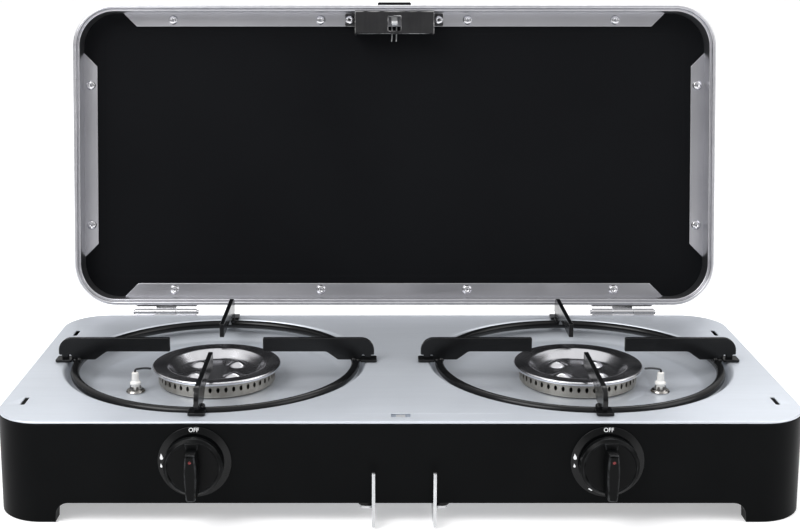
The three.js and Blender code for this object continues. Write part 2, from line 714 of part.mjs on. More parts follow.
function latchBracket() {
  const { bracketWidth, bracketHeight, sheet, face, footWidth, windowWidth } = latch;
  const half = bracketWidth / 2;
  const [y0, y1] = [bracketFront, bracketFront + bracketHeight];
  const low = rimPlane + face;
  const high = rimPlane + lid.flangeStart - gap;
  const legs = [-1, 1].flatMap((end) => {
    const [legLow, legHigh] = [end * half, end * (half - sheet)].sort((a, b) => a - b);
    const [footLow, footHigh] = [end * (half - sheet), end * (half + footWidth)]
      .sort((a, b) => a - b);
    const footEnd = lidFront + lid.flangeInset;
    return [
      block(legLow, legHigh, y0, y1, low, high),
      block(footLow, footHigh, y0, footEnd, high - sheet, high)];
  });
  const windowFront = latchWindow();
  return cut(
    join(block(-half, half, y0, y1, low, low + sheet), ...legs),
    block(-windowWidth / 2, windowWidth / 2, windowFront, windowFront + latch.windowHeight,
      low - 1, low + sheet + 1));
}

function latchWindow() {
  return lidFront + latch.hookFromEdge - latch.hookSheet - latch.travel - 2 * gap;
}

// The hook slides towards the front edge against its spring, and its barb holds the plate's slot.
function latchHook() {
  const { hookWidth, hookFromEdge, hookSheet, barb, hookDepth, carrierWidth, carrierSheet,
    carrierDepth } = latch;
  const back = lidFront + hookFromEdge;
  const plateUnder = rimPlane - lid.rimGap - plate.sheet;
  const carrierLow = rimPlane + carrierDepth;
  const carrierFront = lidFront + latch.tabProud + gap;
  return join(
    block(-carrierWidth / 2, carrierWidth / 2, carrierFront, back + 4, carrierLow,
      carrierLow + carrierSheet),
    block(-hookWidth / 2, hookWidth / 2, back - hookSheet, back, rimPlane - hookDepth,
      carrierLow + 1),
    block(-hookWidth / 2, hookWidth / 2, back - 1, back + barb, rimPlane - hookDepth,
      plateUnder - gap));
}

function latchTab() {
  const { tabWidth, tabSheet, tabProud, carrierDepth } = latch;
  const low = rimPlane + carrierDepth - 0.5;
  const shape = roundedRect(
    -tabWidth / 2, tabWidth / 2, lidFront - tabProud, lidFront + tabProud, 1.4);
  return slab(shape, low, low + tabSheet);
}

// A hairpin of wire whose two ends show beyond the bracket.
function latchSpring() {
  const z = rimPlane + latch.carrierDepth + latch.carrierSheet + 4;
  const near = lidFront + 9;
  const far = lidFront + latch.springReach;
  const half = latch.springHalf;
  const path = smoothPath([
    [-half, far, z], [-half, (near + far) / 2, z], [-half, near + half, z], [0, near, z],
    [half, near + half, z], [half, (near + far) / 2, z], [half, far, z]]);
  return along(path, latch.springRadius, 16, 6);
}

// ---------- front hooks ----------

function frontHook(side) {
  const middle = hook.centre + (side * hook.spacing) / 2;
  const [x0, x1] = [middle - hook.sheet / 2, middle + hook.sheet / 2];
  const { ahead, uprightDepth, top, back, flangeBase, flangeSheet } = hook;
  const underside = casing.skirtRise - gap * 2;
  const blade = new THREE.Shape();
  blade.moveTo(-ahead, top);
  blade.lineTo(-ahead, 6);
  blade.absarc(-ahead + 3.5, 4, 3.5, Math.PI, 1.5 * Math.PI);
  blade.lineTo(back, flangeBase);
  blade.lineTo(back, underside);
  blade.lineTo(-ahead + uprightDepth, underside);
  blade.lineTo(-ahead + uprightDepth, top);
  const [flangeLow, flangeHigh] = [
    side * (Math.abs(middle * side) + hook.sheet / 2 - 1),
    side * (Math.abs(middle * side) + hook.sheet / 2 + hook.flangeWidth)].sort((a, b) => a - b);
  const flange = slab(roundedRect(flangeLow, flangeHigh, 2, hook.flangeBack, 3),
    flangeBase, flangeBase + flangeSheet);
  return join(acrossX(blade, x0, x1), flange);
}

function hookPad(side) {
  const middle = hook.centre + (side * hook.spacing) / 2;
  const edge = middle + side * (hook.sheet / 2 + gap);
  const [x0, x1] = [edge, edge + side * (hook.flangeWidth + 1)].sort((a, b) => a - b);
  const low = hook.flangeBase + hook.flangeSheet + gap;
  return slab(roundedRect(x0, x1, 2, hook.flangeBack, 3), low, casing.skirtRise - gap);
}

// ---------- assembly ----------

const stove = new THREE.Group();
const shutLid = new THREE.Group();
shutLid.position.set(0, hingeY, hingeZ);
shutLid.rotation.x = -THREE.MathUtils.degToRad(lid.openAngle);
stove.add(shutLid);

add(stove, 'base_shell', baseShell(), 'blackPaint');
add(stove, 'top_plate', topPlate(), 'satinSteel');
add(stove, 'gas_pipe', gasPipe(), 'steel');
add(stove, 'hose_nozzle', hoseNozzle(), 'brass');

for (const [name, side] of sides) {
  const x = (side * burner.spacing) / 2;
  const hingeX = (side * hinge.spacing) / 2;
  add(stove, `burner_cup_${name}`, burnerCup(x), 'mirrorSteel');
  add(stove, `burner_cap_${name}`, burnerCap(x), 'mirrorSteel');
  add(stove, `mixing_tube_${name}`, mixingTube(x), 'steel');
  add(stove, `valve_body_${name}`, valveBody(x), 'brass');
  add(stove, `jet_${name}`, jet(x), 'brass');
  add(stove, `electrode_${name}`, electrodeBody(side), 'ceramic');
  add(stove, `electrode_nut_${name}`, electrodeNut(side), 'chrome');
  add(stove, `electrode_tip_${name}`, electrodeTip(side), 'steel');
  add(stove, `igniter_${name}`, igniterBox(side), 'blackPlastic');
  add(stove, `ignition_lead_${name}`, ignitionLead(side), 'whiteSleeve');
  add(stove, `dial_plate_${name}`, dialPlate(x), 'blackPlastic');
  add(stove, `push_collar_${name}`, pushCollar(x), 'steel');
  add(stove, `valve_stem_${name}`, valveStem(x), 'brass');
  add(stove, `knob_${name}`, knobShape(x), 'blackPlastic');
  add(stove, `pan_ring_${name}`, panRing(x), 'blackEnamel');
  ['right', 'back', 'left', 'front'].forEach((place, i) => {
    add(stove, `pan_arm_${name}_${place}`, panArm(x, (i * Math.PI) / 2), 'blackEnamel');
  });
  add(stove, `hinge_leaf_base_${name}`,
    hingeLeaf(hingeX, -1).translate(0, hingeY, hingeZ), 'chrome');
  add(stove, `hinge_pin_${name}`, hingePin(hingeX), 'chrome');
  add(shutLid, `hinge_leaf_lid_${name}`, hingeLeaf(hingeX, 1), 'chrome');
  add(stove, `front_hook_${name}`, frontHook(side), 'steel');
  add(stove, `hook_pad_${name}`, hookPad(side), 'blackPlastic');
}

add(shutLid, 'lid_frame', lidFrame(), 'aluminium');
add(shutLid, 'lid_panel', lidPanel(), 'blackPaint');
add(shutLid, 'latch_bracket', latchBracket(), 'satinSteel');
add(shutLid, 'latch_hook', latchHook(), 'steel');
add(shutLid, 'latch_tab', latchTab(), 'blackPlastic');
add(shutLid, 'latch_spring', latchSpring(), 'steel');

// The origin is under the middle of the whole open stove, on the floor.
const extent = new THREE.Box3().setFromObject(stove, true);
stove.position.set(
  -(extent.min.x + extent.max.x) / 2, -(extent.min.y + extent.max.y) / 2, -extent.min.z);

export default stove;
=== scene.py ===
# Two-burner camping stove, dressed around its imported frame.
# Every outline below is in millimetres, in the piece's own place, and is scaled once when it is made.
import json
from math import atan2, ceil, cos, degrees, hypot, pi, radians, sin, sqrt, tan

import bmesh
import bpy
from mathutils import Matrix, Vector
from mathutils.geometry import tessellate_polygon


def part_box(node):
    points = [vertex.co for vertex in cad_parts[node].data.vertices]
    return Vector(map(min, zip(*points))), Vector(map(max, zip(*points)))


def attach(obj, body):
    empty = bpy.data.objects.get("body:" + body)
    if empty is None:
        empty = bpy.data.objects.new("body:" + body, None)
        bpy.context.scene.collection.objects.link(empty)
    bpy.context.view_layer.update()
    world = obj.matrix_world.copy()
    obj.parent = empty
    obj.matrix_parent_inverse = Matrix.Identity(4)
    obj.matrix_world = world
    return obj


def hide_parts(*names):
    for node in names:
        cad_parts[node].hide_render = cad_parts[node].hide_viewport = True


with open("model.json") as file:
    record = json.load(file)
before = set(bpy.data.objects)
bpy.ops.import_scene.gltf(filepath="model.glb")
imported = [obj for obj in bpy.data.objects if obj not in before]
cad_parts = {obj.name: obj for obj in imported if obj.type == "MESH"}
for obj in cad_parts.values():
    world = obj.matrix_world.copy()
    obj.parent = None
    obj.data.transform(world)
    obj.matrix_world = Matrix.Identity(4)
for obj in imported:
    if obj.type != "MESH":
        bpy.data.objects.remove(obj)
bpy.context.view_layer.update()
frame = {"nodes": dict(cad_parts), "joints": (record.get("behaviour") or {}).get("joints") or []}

mm = 0.001
sides = {"left": -1, "right": 1}
shellLow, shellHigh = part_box("base_shell")
frontY = shellLow.y
casingWidth = (shellHigh.x - shellLow.x) / mm
casingDepth = (shellHigh.y - shellLow.y) / mm
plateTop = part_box("top_plate")[1].z / mm
stovePlace = Matrix.Translation((0, frontY, 0))
print("stage: frame loaded, casing", round(casingWidth), "by", round(casingDepth), "mm")


# places

def middleOf(node):
    low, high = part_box(node)
    return (low + high) / 2


def burnerPlace(name):
    # on the axis of a burner, level with the top of the plate
    middle = middleOf("burner_cap_" + name)
    return Matrix.Translation((middle.x, middle.y, plateTop * mm))


def knobPlace(name):
    # on the axis of a knob, +Z towards the cook and +Y up
    middle = middleOf("dial_plate_" + name)
    return Matrix.Translation((middle.x, frontY, middle.z)) @ Matrix.Rotation(pi / 2, 4, "X")


lidJoint = next(joint for joint in frame["joints"] if joint["name"] == "lid_fold")
lidOpen = Matrix.Rotation(-radians(lidJoint["range_deg"][1]), 4, "X")
hingeAxis = Vector(lidJoint["pos_m"])
lidPlace = Matrix.Translation(hingeAxis) @ lidOpen  # drawn shut, then opened
hingeBack = (hingeAxis.y - shellHigh.y) / mm  # the axis stands this far behind the casing
lidFront = -hingeBack - casingDepth


# outlines

def roundPath(corners, stepDegrees=15):
    # an outline through corners given as x, y and, where it is rounded, a radius
    points, arcs = [], []
    count = len(corners)
    for i, corner in enumerate(corners):
        here = Vector(corner[:2])
        radius = corner[2] if len(corner) > 2 else 0
        if not radius:
            points.append(here)
            arcs.append(False)
            continue
        back = (Vector(corners[i - 1][:2]) - here).normalized()
        ahead = (Vector(corners[(i + 1) % count][:2]) - here).normalized()
        inside = back.angle(ahead)
        middle = here + (back + ahead).normalized() * (radius / sin(inside / 2))
        start = here + back * (radius / tan(inside / 2)) - middle
        end = here + ahead * (radius / tan(inside / 2)) - middle
        turn = atan2(start.x * end.y - start.y * end.x, start.dot(end))
        steps = max(2, ceil(abs(degrees(turn)) / stepDegrees))
        first = atan2(start.y, start.x)
        for k in range(steps + 1):
            angle = first + turn * k / steps
            points.append(middle + radius * Vector((cos(angle), sin(angle))))
            arcs.append(k < steps)
    return points, arcs


def rectangle(x0, x1, y0, y1, radius=0.0, stepDegrees=15):
    corners = [(x0, y0, radius), (x1, y0, radius), (x1, y1, radius), (x0, y1, radius)]
    return roundPath(corners, stepDegrees=stepDegrees)[0]


def circle(radius, steps, x=0.0, y=0.0):
    turns = [2 * pi * i / steps for i in range(steps)]
    return [Vector((x + radius * cos(turn), y + radius * sin(turn))) for turn in turns]


def insetLoop(loop, distance):
    # moves a loop towards its left side, keeping its corners sharp
    inner = []
    for i, here in enumerate(loop):
        before = here - loop[i - 1]
        after = loop[(i + 1) % len(loop)] - here
        first = Vector((-before.y, before.x)).normalized()
        second = Vector((-after.y, after.x)).normalized()
        mitre = (first + second).normalized()
        inner.append(here + mitre * (distance / max(mitre.dot(first), 0.3)))
    return inner


def turnedLeft(loop, left=True):
    area = sum(loop[i - 1].x * p.y - p.x * loop[i - 1].y for i, p in enumerate(loop))
    return list(loop) if (area > 0) == left else list(reversed(loop))


# shapes: points, faces, and which faces are rounded edges

def newShape():
    return {"points": [], "faces": [], "edges": []}


def addTo(shape, other, matrix=Matrix.Identity(4)):
    start = len(shape["points"])
    shape["points"] += [matrix @ Vector(p) for p in other["points"]]
    shape["faces"] += [tuple(start + i for i in face) for face in other["faces"]]
    shape["edges"] += other["edges"]
    return shape


def merged(*shapes):
    whole = newShape()
    for shape in shapes:
        addTo(whole, shape)
    return whole


def skin(columns, arcs, wrapAcross=True, wrapAlong=False):
    # columns of points, side by side; arcs says which steps along a column are rounded edges
    shape = newShape()
    length = len(columns[0])
    for column in columns:
        shape["points"] += [Vector(p) for p in column]
    for i in range(len(columns) if wrapAcross else len(columns) - 1):
        j = (i + 1) % len(columns)
        for k in range(length if wrapAlong else length - 1):
            n = (k + 1) % length
            shape["faces"].append((i * length + k, j * length + k, j * length + n, i * length + n))
            shape["edges"].append(1.0 if arcs[k] else 0.0)
    return shape


def turned(corners, steps=64, closed=True, stepDegrees=15):
    # a shape turned about Z from pairs of radius and height
    path, arcs = roundPath(corners, stepDegrees=stepDegrees)
    columns = []
    for i in range(steps):
        angle = 2 * pi * i / steps
        columns.append([(p.x * cos(angle), p.x * sin(angle), p.y) for p in path])
    return skin(columns, arcs, wrapAlong=closed)


def slab(outline, z0, z1, edge=0.3, holes=(), steps=3):
    # a flat sheet with rounded edges, and holes if it has any
    shape = newShape()
    caps = []
    for loop in (outline, *holes):
        loop = turnedLeft(loop, loop is outline)
        rows = []
        for k in range(steps + 1):
            angle = pi / 2 * k / steps
            rows.append((edge * (1 - sin(angle)), z0 + edge * (1 - cos(angle))))
        for k in range(steps + 1):
            angle = pi / 2 * k / steps
            rows.append((edge * (1 - cos(angle)), z1 - edge * (1 - sin(angle))))
        loops = [[(p.x, p.y, z) for p in insetLoop(loop, inset)] for inset, z in rows]
        arcs = [k != steps for k in range(2 * steps + 1)]
        addTo(shape, skin([list(column) for column in zip(*loops)], arcs + [False]))
        caps.append((loops[0], loops[-1]))
    for end in (0, 1):
        loops = [[Vector(p) for p in cap[end]] for cap in caps]
        points = [p for loop in loops for p in loop]
        faces = [tuple(range(len(points)))] if not holes else tessellate_polygon(loops)
        addTo(shape, {"points": points, "faces": faces, "edges": [0.0] * len(faces)})
    return shape


def rod(path, radius, around=12, closed=False, roundEnds=True):
    # a wire or tube along a list of points
    path = [Vector(p) for p in path]
    count = len(path)
    tangents = []
    for i in range(count):
        ahead = path[(i + 1) % count] if closed or i < count - 1 else path[i]
        back = path[i - 1] if closed or i else path[i]
        tangents.append((ahead - back).normalized())
    side = tangents[0].orthogonal().normalized()
    rings = []
    for i, (point, tangent) in enumerate(zip(path, tangents)):
        side = (side - tangent * side.dot(tangent)).normalized()
        up = tangent.cross(side)
        spots = [(radius, point)]
        if not closed and roundEnds and i in (0, count - 1):
            outward = -tangent if i == 0 else tangent
            shares = (0.35, 0.75, 1.0) if i == 0 else (1.0, 0.75, 0.35)
            spots = [(radius * s, point - outward * radius * (1 - sqrt(1 - s * s))) for s in shares]
        for size, centre in spots:
            turns = [2 * pi * k / around for k in range(around)]
            rings.append([centre + size * (side * cos(t) + up * sin(t)) for t in turns])
    columns = [list(column) for column in zip(*rings)]
    shape = skin(columns, [False] * len(rings), wrapAlong=closed)
    if not closed:
        for ring in (rings[0], rings[-1]):
            addTo(shape, {"points": ring, "faces": [tuple(range(around))], "edges": [0.0]})
    return shape


def smoothLine(points, steps=8):
    # a smooth curve through the points
    points = [Vector(p) for p in points]
    ends = [points[0] * 2 - points[1], *points, points[-1] * 2 - points[-2]]
    line = []
    for a, b, c, d in zip(ends, ends[1:], ends[2:], ends[3:]):
        for k in range(steps):
            t = k / steps
            line.append(0.5 * ((2 * b) + (c - a) * t + (2 * a - 5 * b + 4 * c - d) * t ** 2
                               + (3 * b - a - 3 * c + d) * t ** 3))
    return [*line, points[-1]]


def perimeter(x0, x1, y0, y1, radius, arcSteps=14, extra=None):
    # points round a rounded rectangle with their outward directions; extra adds stations on a side
    corners = [(x1 - radius, y0 + radius, -90), (x1 - radius, y1 - radius, 0),
               (x0 + radius, y1 - radius, 90), (x0 + radius, y0 + radius, 180)]
    stations = []
    for i, (x, y, start) in enumerate(corners):
        for k in range(arcSteps + 1):
            angle = radians(start + 90 * k / arcSteps)
            outward = Vector((cos(angle), sin(angle)))
            stations.append((Vector((x, y)) + outward * radius, outward, 0.0))
        if extra:
            start = stations[-1][0]
            nextX, nextY, nextAngle = corners[(i + 1) % 4]
            outward = Vector((cos(radians(nextAngle)), sin(radians(nextAngle))))
            end = Vector((nextX, nextY)) + outward * radius
            along = (end - start).normalized()
            for distance, value in extra((end - start).length):
                stations.append((start + along * distance, outward, value))
    return stations


# making a piece

def inScene(name, data):
    made = bpy.data.objects.new(name, data)
    bpy.context.scene.collection.objects.link(made)
    return made


def evenNormals(piece):
    piece.modifiers.new("evenNormals", "WEIGHTED_NORMAL").keep_sharp = True


def makePiece(name, shape, place, material, body, replaces=(), sharp=42, weighted=True):
    mesh = bpy.data.meshes.new(name)
    mesh.from_pydata([Vector(p) * mm for p in shape["points"]], [], shape["faces"])
    edgeMark = mesh.attributes.new("edge", "FLOAT", "FACE")
    edgeMark.data.foreach_set("value", shape["edges"])
    solid = bmesh.new()
    solid.from_mesh(mesh)
    bmesh.ops.remove_doubles(solid, verts=solid.verts, dist=2e-6)
    bmesh.ops.dissolve_degenerate(solid, edges=solid.edges, dist=1e-7)
    bmesh.ops.recalc_face_normals(solid, faces=solid.faces)
    solid.to_mesh(mesh)
    solid.free()
    mesh.shade_smooth()
    mesh.set_sharp_from_angle(angle=radians(sharp))
    piece = inScene(name, mesh)
    piece.matrix_world = place
    mesh.materials.append(material)
    if weighted:
        evenNormals(piece)
    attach(piece, body)
    if replaces:
        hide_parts(*replaces)
    return piece


def cutAway(piece, tools):
    # cuts closed shapes out of a piece for good, before its normals are evened
    cutter = bpy.data.meshes.new("cutter")
    whole = merged(*tools)
    cutter.from_pydata([Vector(p) * mm for p in whole["points"]], [], whole["faces"])
    solid = bmesh.new()
    solid.from_mesh(cutter)
    bmesh.ops.remove_doubles(solid, verts=solid.verts, dist=1e-6)
    bmesh.ops.recalc_face_normals(solid, faces=solid.faces)
    solid.to_mesh(cutter)
    solid.free()
    cutterPiece = inScene("cutter", cutter)
    cutterPiece.matrix_world = piece.matrix_world
    for modifier in list(piece.modifiers):
        piece.modifiers.remove(modifier)
    boolean = piece.modifiers.new("cut", "BOOLEAN")
    boolean.operation = "DIFFERENCE"
    boolean.solver = "EXACT"
    boolean.object = cutterPiece
    bpy.context.view_layer.update()
    evaluated = piece.evaluated_get(bpy.context.evaluated_depsgraph_get())
    result = bpy.data.meshes.new_from_object(evaluated)
    piece.modifiers.remove(boolean)
    piece.data = result
    result.shade_smooth()
    result.set_sharp_from_angle(angle=radians(42))
    bpy.data.objects.remove(cutterPiece)
    evenNormals(piece)


# shared effects, each a node group

def newGroup(name, inputs, outputs):
    group = bpy.data.node_groups.new(name, "ShaderNodeTree")
    for label, kind, value in inputs:
        socket = group.interface.new_socket(label, in_out="INPUT", socket_type=kind)
        socket.default_value = value
    for label, kind in outputs:
        group.interface.new_socket(label, in_out="OUTPUT", socket_type=kind)
    return group, group.nodes.new("NodeGroupInput"), group.nodes.new("NodeGroupOutput")


def addNode(tree, kind, values=None, **settings):
    made = tree.nodes.new("ShaderNode" + kind)
    for setting, value in settings.items():
        setattr(made, setting, value)
    for socket, value in (values or {}).items():
        made.inputs[socket].default_value = value
    return made


def noiseNode(tree, vector, scale, detail=3.0, roughness=0.55):
    made = addNode(tree, "TexNoise", {"Detail": detail, "Roughness": roughness})
    tree.links.new(vector, made.inputs["Vector"])
    if isinstance(scale, (int, float)):
        made.inputs["Scale"].default_value = scale
    else:
        tree.links.new(scale, made.inputs["Scale"])
    return made.outputs["Fac"]


def mapNode(tree, value, low, high, toLow=0.0, toHigh=1.0):
    made = addNode(tree, "MapRange")
    tree.links.new(value, made.inputs["Value"])
    for socket, amount in zip(("From Min", "From Max", "To Min", "To Max"), (low, high, toLow, toHigh)):
        if isinstance(amount, (int, float)):
            made.inputs[socket].default_value = amount
        else:
            tree.links.new(amount, made.inputs[socket])
    return made.outputs["Result"]


def brushedGrainGroup():
    # fine lines along one direction: the stretch is small along it and large across it
    group, start, end = newGroup(
        "brushedGrain",
        [("Stretch", "NodeSocketVector", (1, 40, 40)), ("Scale", "NodeSocketFloat", 60.0)],
        [("Height", "NodeSocketFloat"), ("Tone", "NodeSocketFloat")])
    place = addNode(group, "TexCoord")
    mapping = addNode(group, "Mapping")
    group.links.new(place.outputs["Object"], mapping.inputs["Vector"])
    group.links.new(start.outputs["Stretch"], mapping.inputs["Scale"])
    fine = noiseNode(group, mapping.outputs["Vector"], start.outputs["Scale"], 4.0, 0.65)
    broad = noiseNode(group, mapping.outputs["Vector"], 9.0, 2.0)
    group.links.new(fine, end.inputs["Height"])
    group.links.new(mapNode(group, broad, 0.3, 0.7), end.inputs["Tone"])
    return group


def turnedGrainGroup():
    # fine rings about the piece's own Z axis
    group, start, end = newGroup(
        "turnedGrain",
        [("Rings", "NodeSocketFloat", 900.0), ("Streaks", "NodeSocketFloat", 1.5)],
        [("Height", "NodeSocketFloat"), ("Tone", "NodeSocketFloat")])
    place = addNode(group, "TexCoord")
    flat = addNode(group, "VectorMath", operation="MULTIPLY")
    flat.inputs[1].default_value = (1, 1, 0)
    group.links.new(place.outputs["Object"], flat.inputs[0])
    length = addNode(group, "VectorMath", operation="LENGTH")
    group.links.new(flat.outputs["Vector"], length.inputs[0])
    rings = addNode(group, "Math", operation="MULTIPLY")
    group.links.new(length.outputs["Value"], rings.inputs[0])
    group.links.new(start.outputs["Rings"], rings.inputs[1])
    direction = addNode(group, "VectorMath", operation="NORMALIZE")
    group.links.new(flat.outputs["Vector"], direction.inputs[0])
    streaks = addNode(group, "VectorMath", operation="SCALE")
    group.links.new(direction.outputs["Vector"], streaks.inputs[0])
    group.links.new(start.outputs["Streaks"], streaks.inputs["Scale"])
    raised = addNode(group, "CombineXYZ")
    group.links.new(rings.outputs["Value"], raised.inputs["Z"])
    joined = addNode(group, "VectorMath", operation="ADD")
    group.links.new(streaks.outputs["Vector"], joined.inputs[0])
    group.links.new(raised.outputs["Vector"], joined.inputs[1])
    group.links.new(noiseNode(group, joined.outputs["Vector"], 1.0, 3.0), end.inputs["Height"])
    wide = noiseNode(group, streaks.outputs["Vector"], 2.5, 2.0)
    group.links.new(mapNode(group, wide, 0.3, 0.7), end.inputs["Tone"])
    return group


def mouldedGrainGroup():
    # the fine pebbled skin of paint, enamel and moulded plastic
    group, start, end = newGroup(
        "mouldedGrain", [("Scale", "NodeSocketFloat", 900.0)], [("Height", "NodeSocketFloat")])
    place = addNode(group, "TexCoord")
    pebbles = addNode(group, "TexVoronoi", feature="SMOOTH_F1")
    group.links.new(place.outputs["Object"], pebbles.inputs["Vector"])
    group.links.new(start.outputs["Scale"], pebbles.inputs["Scale"])
    soft = noiseNode(group, place.outputs["Object"], start.outputs["Scale"], 3.0)
    both = addNode(group, "Math", operation="ADD")
    group.links.new(pebbles.outputs["Distance"], both.inputs[0])
    group.links.new(soft, both.inputs[1])
    group.links.new(both.outputs["Value"], end.inputs["Height"])
    return group


def smudgeGroup():
    # roughness that drifts between two values, as where a surface has been handled
    group, start, end = newGroup(
        "smudges",
        [("Scale", "NodeSocketFloat", 14.0), ("Smooth", "NodeSocketFloat", 0.3),
         ("Rough", "NodeSocketFloat", 0.4)],
        [("Roughness", "NodeSocketFloat")])
    place = addNode(group, "TexCoord")
    drift = noiseNode(group, place.outputs["Object"], start.outputs["Scale"], 4.0, 0.6)
    mappedDrift = mapNode(group, drift, 0.3, 0.7, start.outputs["Smooth"], start.outputs["Rough"])
    group.links.new(mappedDrift, end.inputs["Roughness"])
    return group


def wornEdgeGroup():
    # where rounded edges have rubbed bright, broken up by noise
    group, start, end = newGroup(
        "wornEdge",
        [("Amount", "NodeSocketFloat", 0.5), ("Scale", "NodeSocketFloat", 120.0)],
        [("Mask", "NodeSocketFloat")])
    place = addNode(group, "TexCoord")
    edge = addNode(group, "Attribute", attribute_name="edge")
    patches = noiseNode(group, place.outputs["Object"], start.outputs["Scale"], 3.0)
    broken = mapNode(group, patches, 0.38, 0.62)
    both = addNode(group, "Math", operation="MULTIPLY")
    group.links.new(edge.outputs["Fac"], both.inputs[0])
    group.links.new(broken, both.inputs[1])
    scaled = addNode(group, "Math", operation="MULTIPLY")
    group.links.new(both.outputs["Value"], scaled.inputs[0])
    group.links.new(start.outputs["Amount"], scaled.inputs[1])
    group.links.new(scaled.outputs["Value"], end.inputs["Mask"])
    return group


def toneDriftGroup():
    # a colour that varies slowly over the surface
    group, start, end = newGroup(
        "toneDrift",
        [("Colour", "NodeSocketColor", (0.5, 0.5, 0.5, 1)), ("Other", "NodeSocketColor", (0.5, 0.5, 0.5, 1)),
         ("Scale", "NodeSocketFloat", 20.0)],
        [("Colour", "NodeSocketColor")])
    place = addNode(group, "TexCoord")
    drift = noiseNode(group, place.outputs["Object"], start.outputs["Scale"], 4.0)
    mixed = addNode(group, "Mix", data_type="RGBA")
    group.links.new(mapNode(group, drift, 0.35, 0.65), mixed.inputs[0])
    group.links.new(start.outputs["Colour"], mixed.inputs[6])
    group.links.new(start.outputs["Other"], mixed.inputs[7])
    group.links.new(mixed.outputs[2], end.inputs["Colour"])
    return group


brushedGrain = brushedGrainGroup()
turnedGrain = turnedGrainGroup()
mouldedGrain = mouldedGrainGroup()
smudges = smudgeGroup()
wornEdge = wornEdgeGroup()
toneDrift = toneDriftGroup()


# materials

def placeGroup(tree, group, **values):
    made = addNode(tree, "Group")
    made.node_tree = group
    for socket, value in values.items():
        made.inputs[socket].default_value = value
    return made


def rgba(colour):
    return (*colour, 1.0)


def finishMaterial(name, look):
    # one look: two tones, worn edges, roughness that drifts, and a fine grain
    material = bpy.data.materials.new(name)
    material.use_nodes = True
    tree = material.node_tree
    shader = tree.nodes["Principled BSDF"]
    for socket, value in look.get("shader", {}).items():
        shader.inputs[socket].default_value = value
    material.diffuse_color = rgba(look["colour"])
    drift = placeGroup(tree, toneDrift, Colour=rgba(look["colour"]), Other=rgba(look["otherColour"]),
                       Scale=look.get("driftScale", 18.0))
    worn = placeGroup(tree, wornEdge, Amount=look.get("wear", 0.0), Scale=look.get("wearScale", 150.0))
    tinted = addNode(tree, "Mix", data_type="RGBA")
    tree.links.new(worn.outputs["Mask"], tinted.inputs[0])
    tree.links.new(drift.outputs["Colour"], tinted.inputs[6])
    tinted.inputs[7].default_value = rgba(look.get("wornColour", look["otherColour"]))
    colour = tinted.outputs[2]
    rough = placeGroup(tree, smudges, Scale=look.get("smudgeScale", 14.0),
                       Smooth=look["roughness"][0], Rough=look["roughness"][1])
    tree.links.new(rough.outputs["Roughness"], shader.inputs["Roughness"])
    kind, settings, depth = look["grain"]
    grain = placeGroup(tree, {"brushed": brushedGrain, "turned": turnedGrain,
                              "moulded": mouldedGrain}[kind], **settings)
    if "Tone" in grain.outputs:
        streaked = addNode(tree, "Mix", data_type="RGBA", blend_type="MULTIPLY")
        streaked.inputs[0].default_value = look.get("streaks", 0.1)
        tree.links.new(colour, streaked.inputs[6])
        tree.links.new(grain.outputs["Tone"], streaked.inputs[7])
        colour = streaked.outputs[2]
    tree.links.new(colour, shader.inputs["Base Color"])
    bump = addNode(tree, "Bump", {"Strength": look.get("bump", 0.5), "Distance": depth * mm})
    tree.links.new(grain.outputs["Height"], bump.inputs["Height"])
    tree.links.new(bump.outputs["Normal"], shader.inputs["Normal"])
    return material


skirtPaint = finishMaterial("skirtPaint", {
    "colour": (0.0028, 0.0031, 0.0034), "otherColour": (0.0036, 0.0039, 0.0042),
    "wornColour": (0.014, 0.015, 0.016), "wear": 0.5, "roughness": (0.34, 0.42),
    "grain": ("moulded", {"Scale": 700.0}, 0.02),
    "shader": {"Specular IOR Level": 0.035}})
lidPaint = finishMaterial("lidPaint", {
    "colour": (0.0040, 0.0043, 0.0052), "otherColour": (0.0052, 0.0056, 0.0066),
    "driftScale": 5.0, "roughness": (0.44, 0.56), "grain": ("moulded", {"Scale": 900.0}, 0.015),
    "shader": {"Specular IOR Level": 0.05}})
plateSatin = finishMaterial("plateSatin", {
    "colour": (0.60, 0.635, 0.69), "otherColour": (0.64, 0.675, 0.73), "driftScale": 6.0,
    "roughness": (0.36, 0.44), "smudgeScale": 8.0, "streaks": 0.03,
    "grain": ("brushed", {"Stretch": (2, 30, 30), "Scale": 45.0}, 0.006),
    "shader": {"Metallic": 0.55}})
aluminium = finishMaterial("satinAluminium", {
    "colour": (0.52, 0.52, 0.55), "otherColour": (0.56, 0.56, 0.59), "roughness": (0.30, 0.36),
    "wornColour": (0.80, 0.80, 0.82), "wear": 0.25, "streaks": 0.03, "bump": 0.15,
    "grain": ("brushed", {"Stretch": (3, 60, 60), "Scale": 60.0}, 0.003),
    "shader": {"Metallic": 1.0}})
mirrorSteel = finishMaterial("mirrorSteel", {
    "colour": (0.66, 0.66, 0.69), "otherColour": (0.72, 0.72, 0.75), "roughness": (0.18, 0.27),
    "smudgeScale": 40.0, "streaks": 0.08, "grain": ("turned", {"Rings": 1500.0}, 0.003),
    "shader": {"Metallic": 1.0}})
burnerSteel = finishMaterial("burnerSteel", {
    "colour": (0.26, 0.24, 0.21), "otherColour": (0.40, 0.38, 0.34), "driftScale": 60.0,
    "wornColour": (0.6, 0.58, 0.54), "wear": 0.3, "roughness": (0.30, 0.45), "smudgeScale": 50.0,
    "streaks": 0.15, "grain": ("brushed", {"Stretch": (30, 30, 3), "Scale": 40.0}, 0.01),
    "shader": {"Metallic": 0.9}})
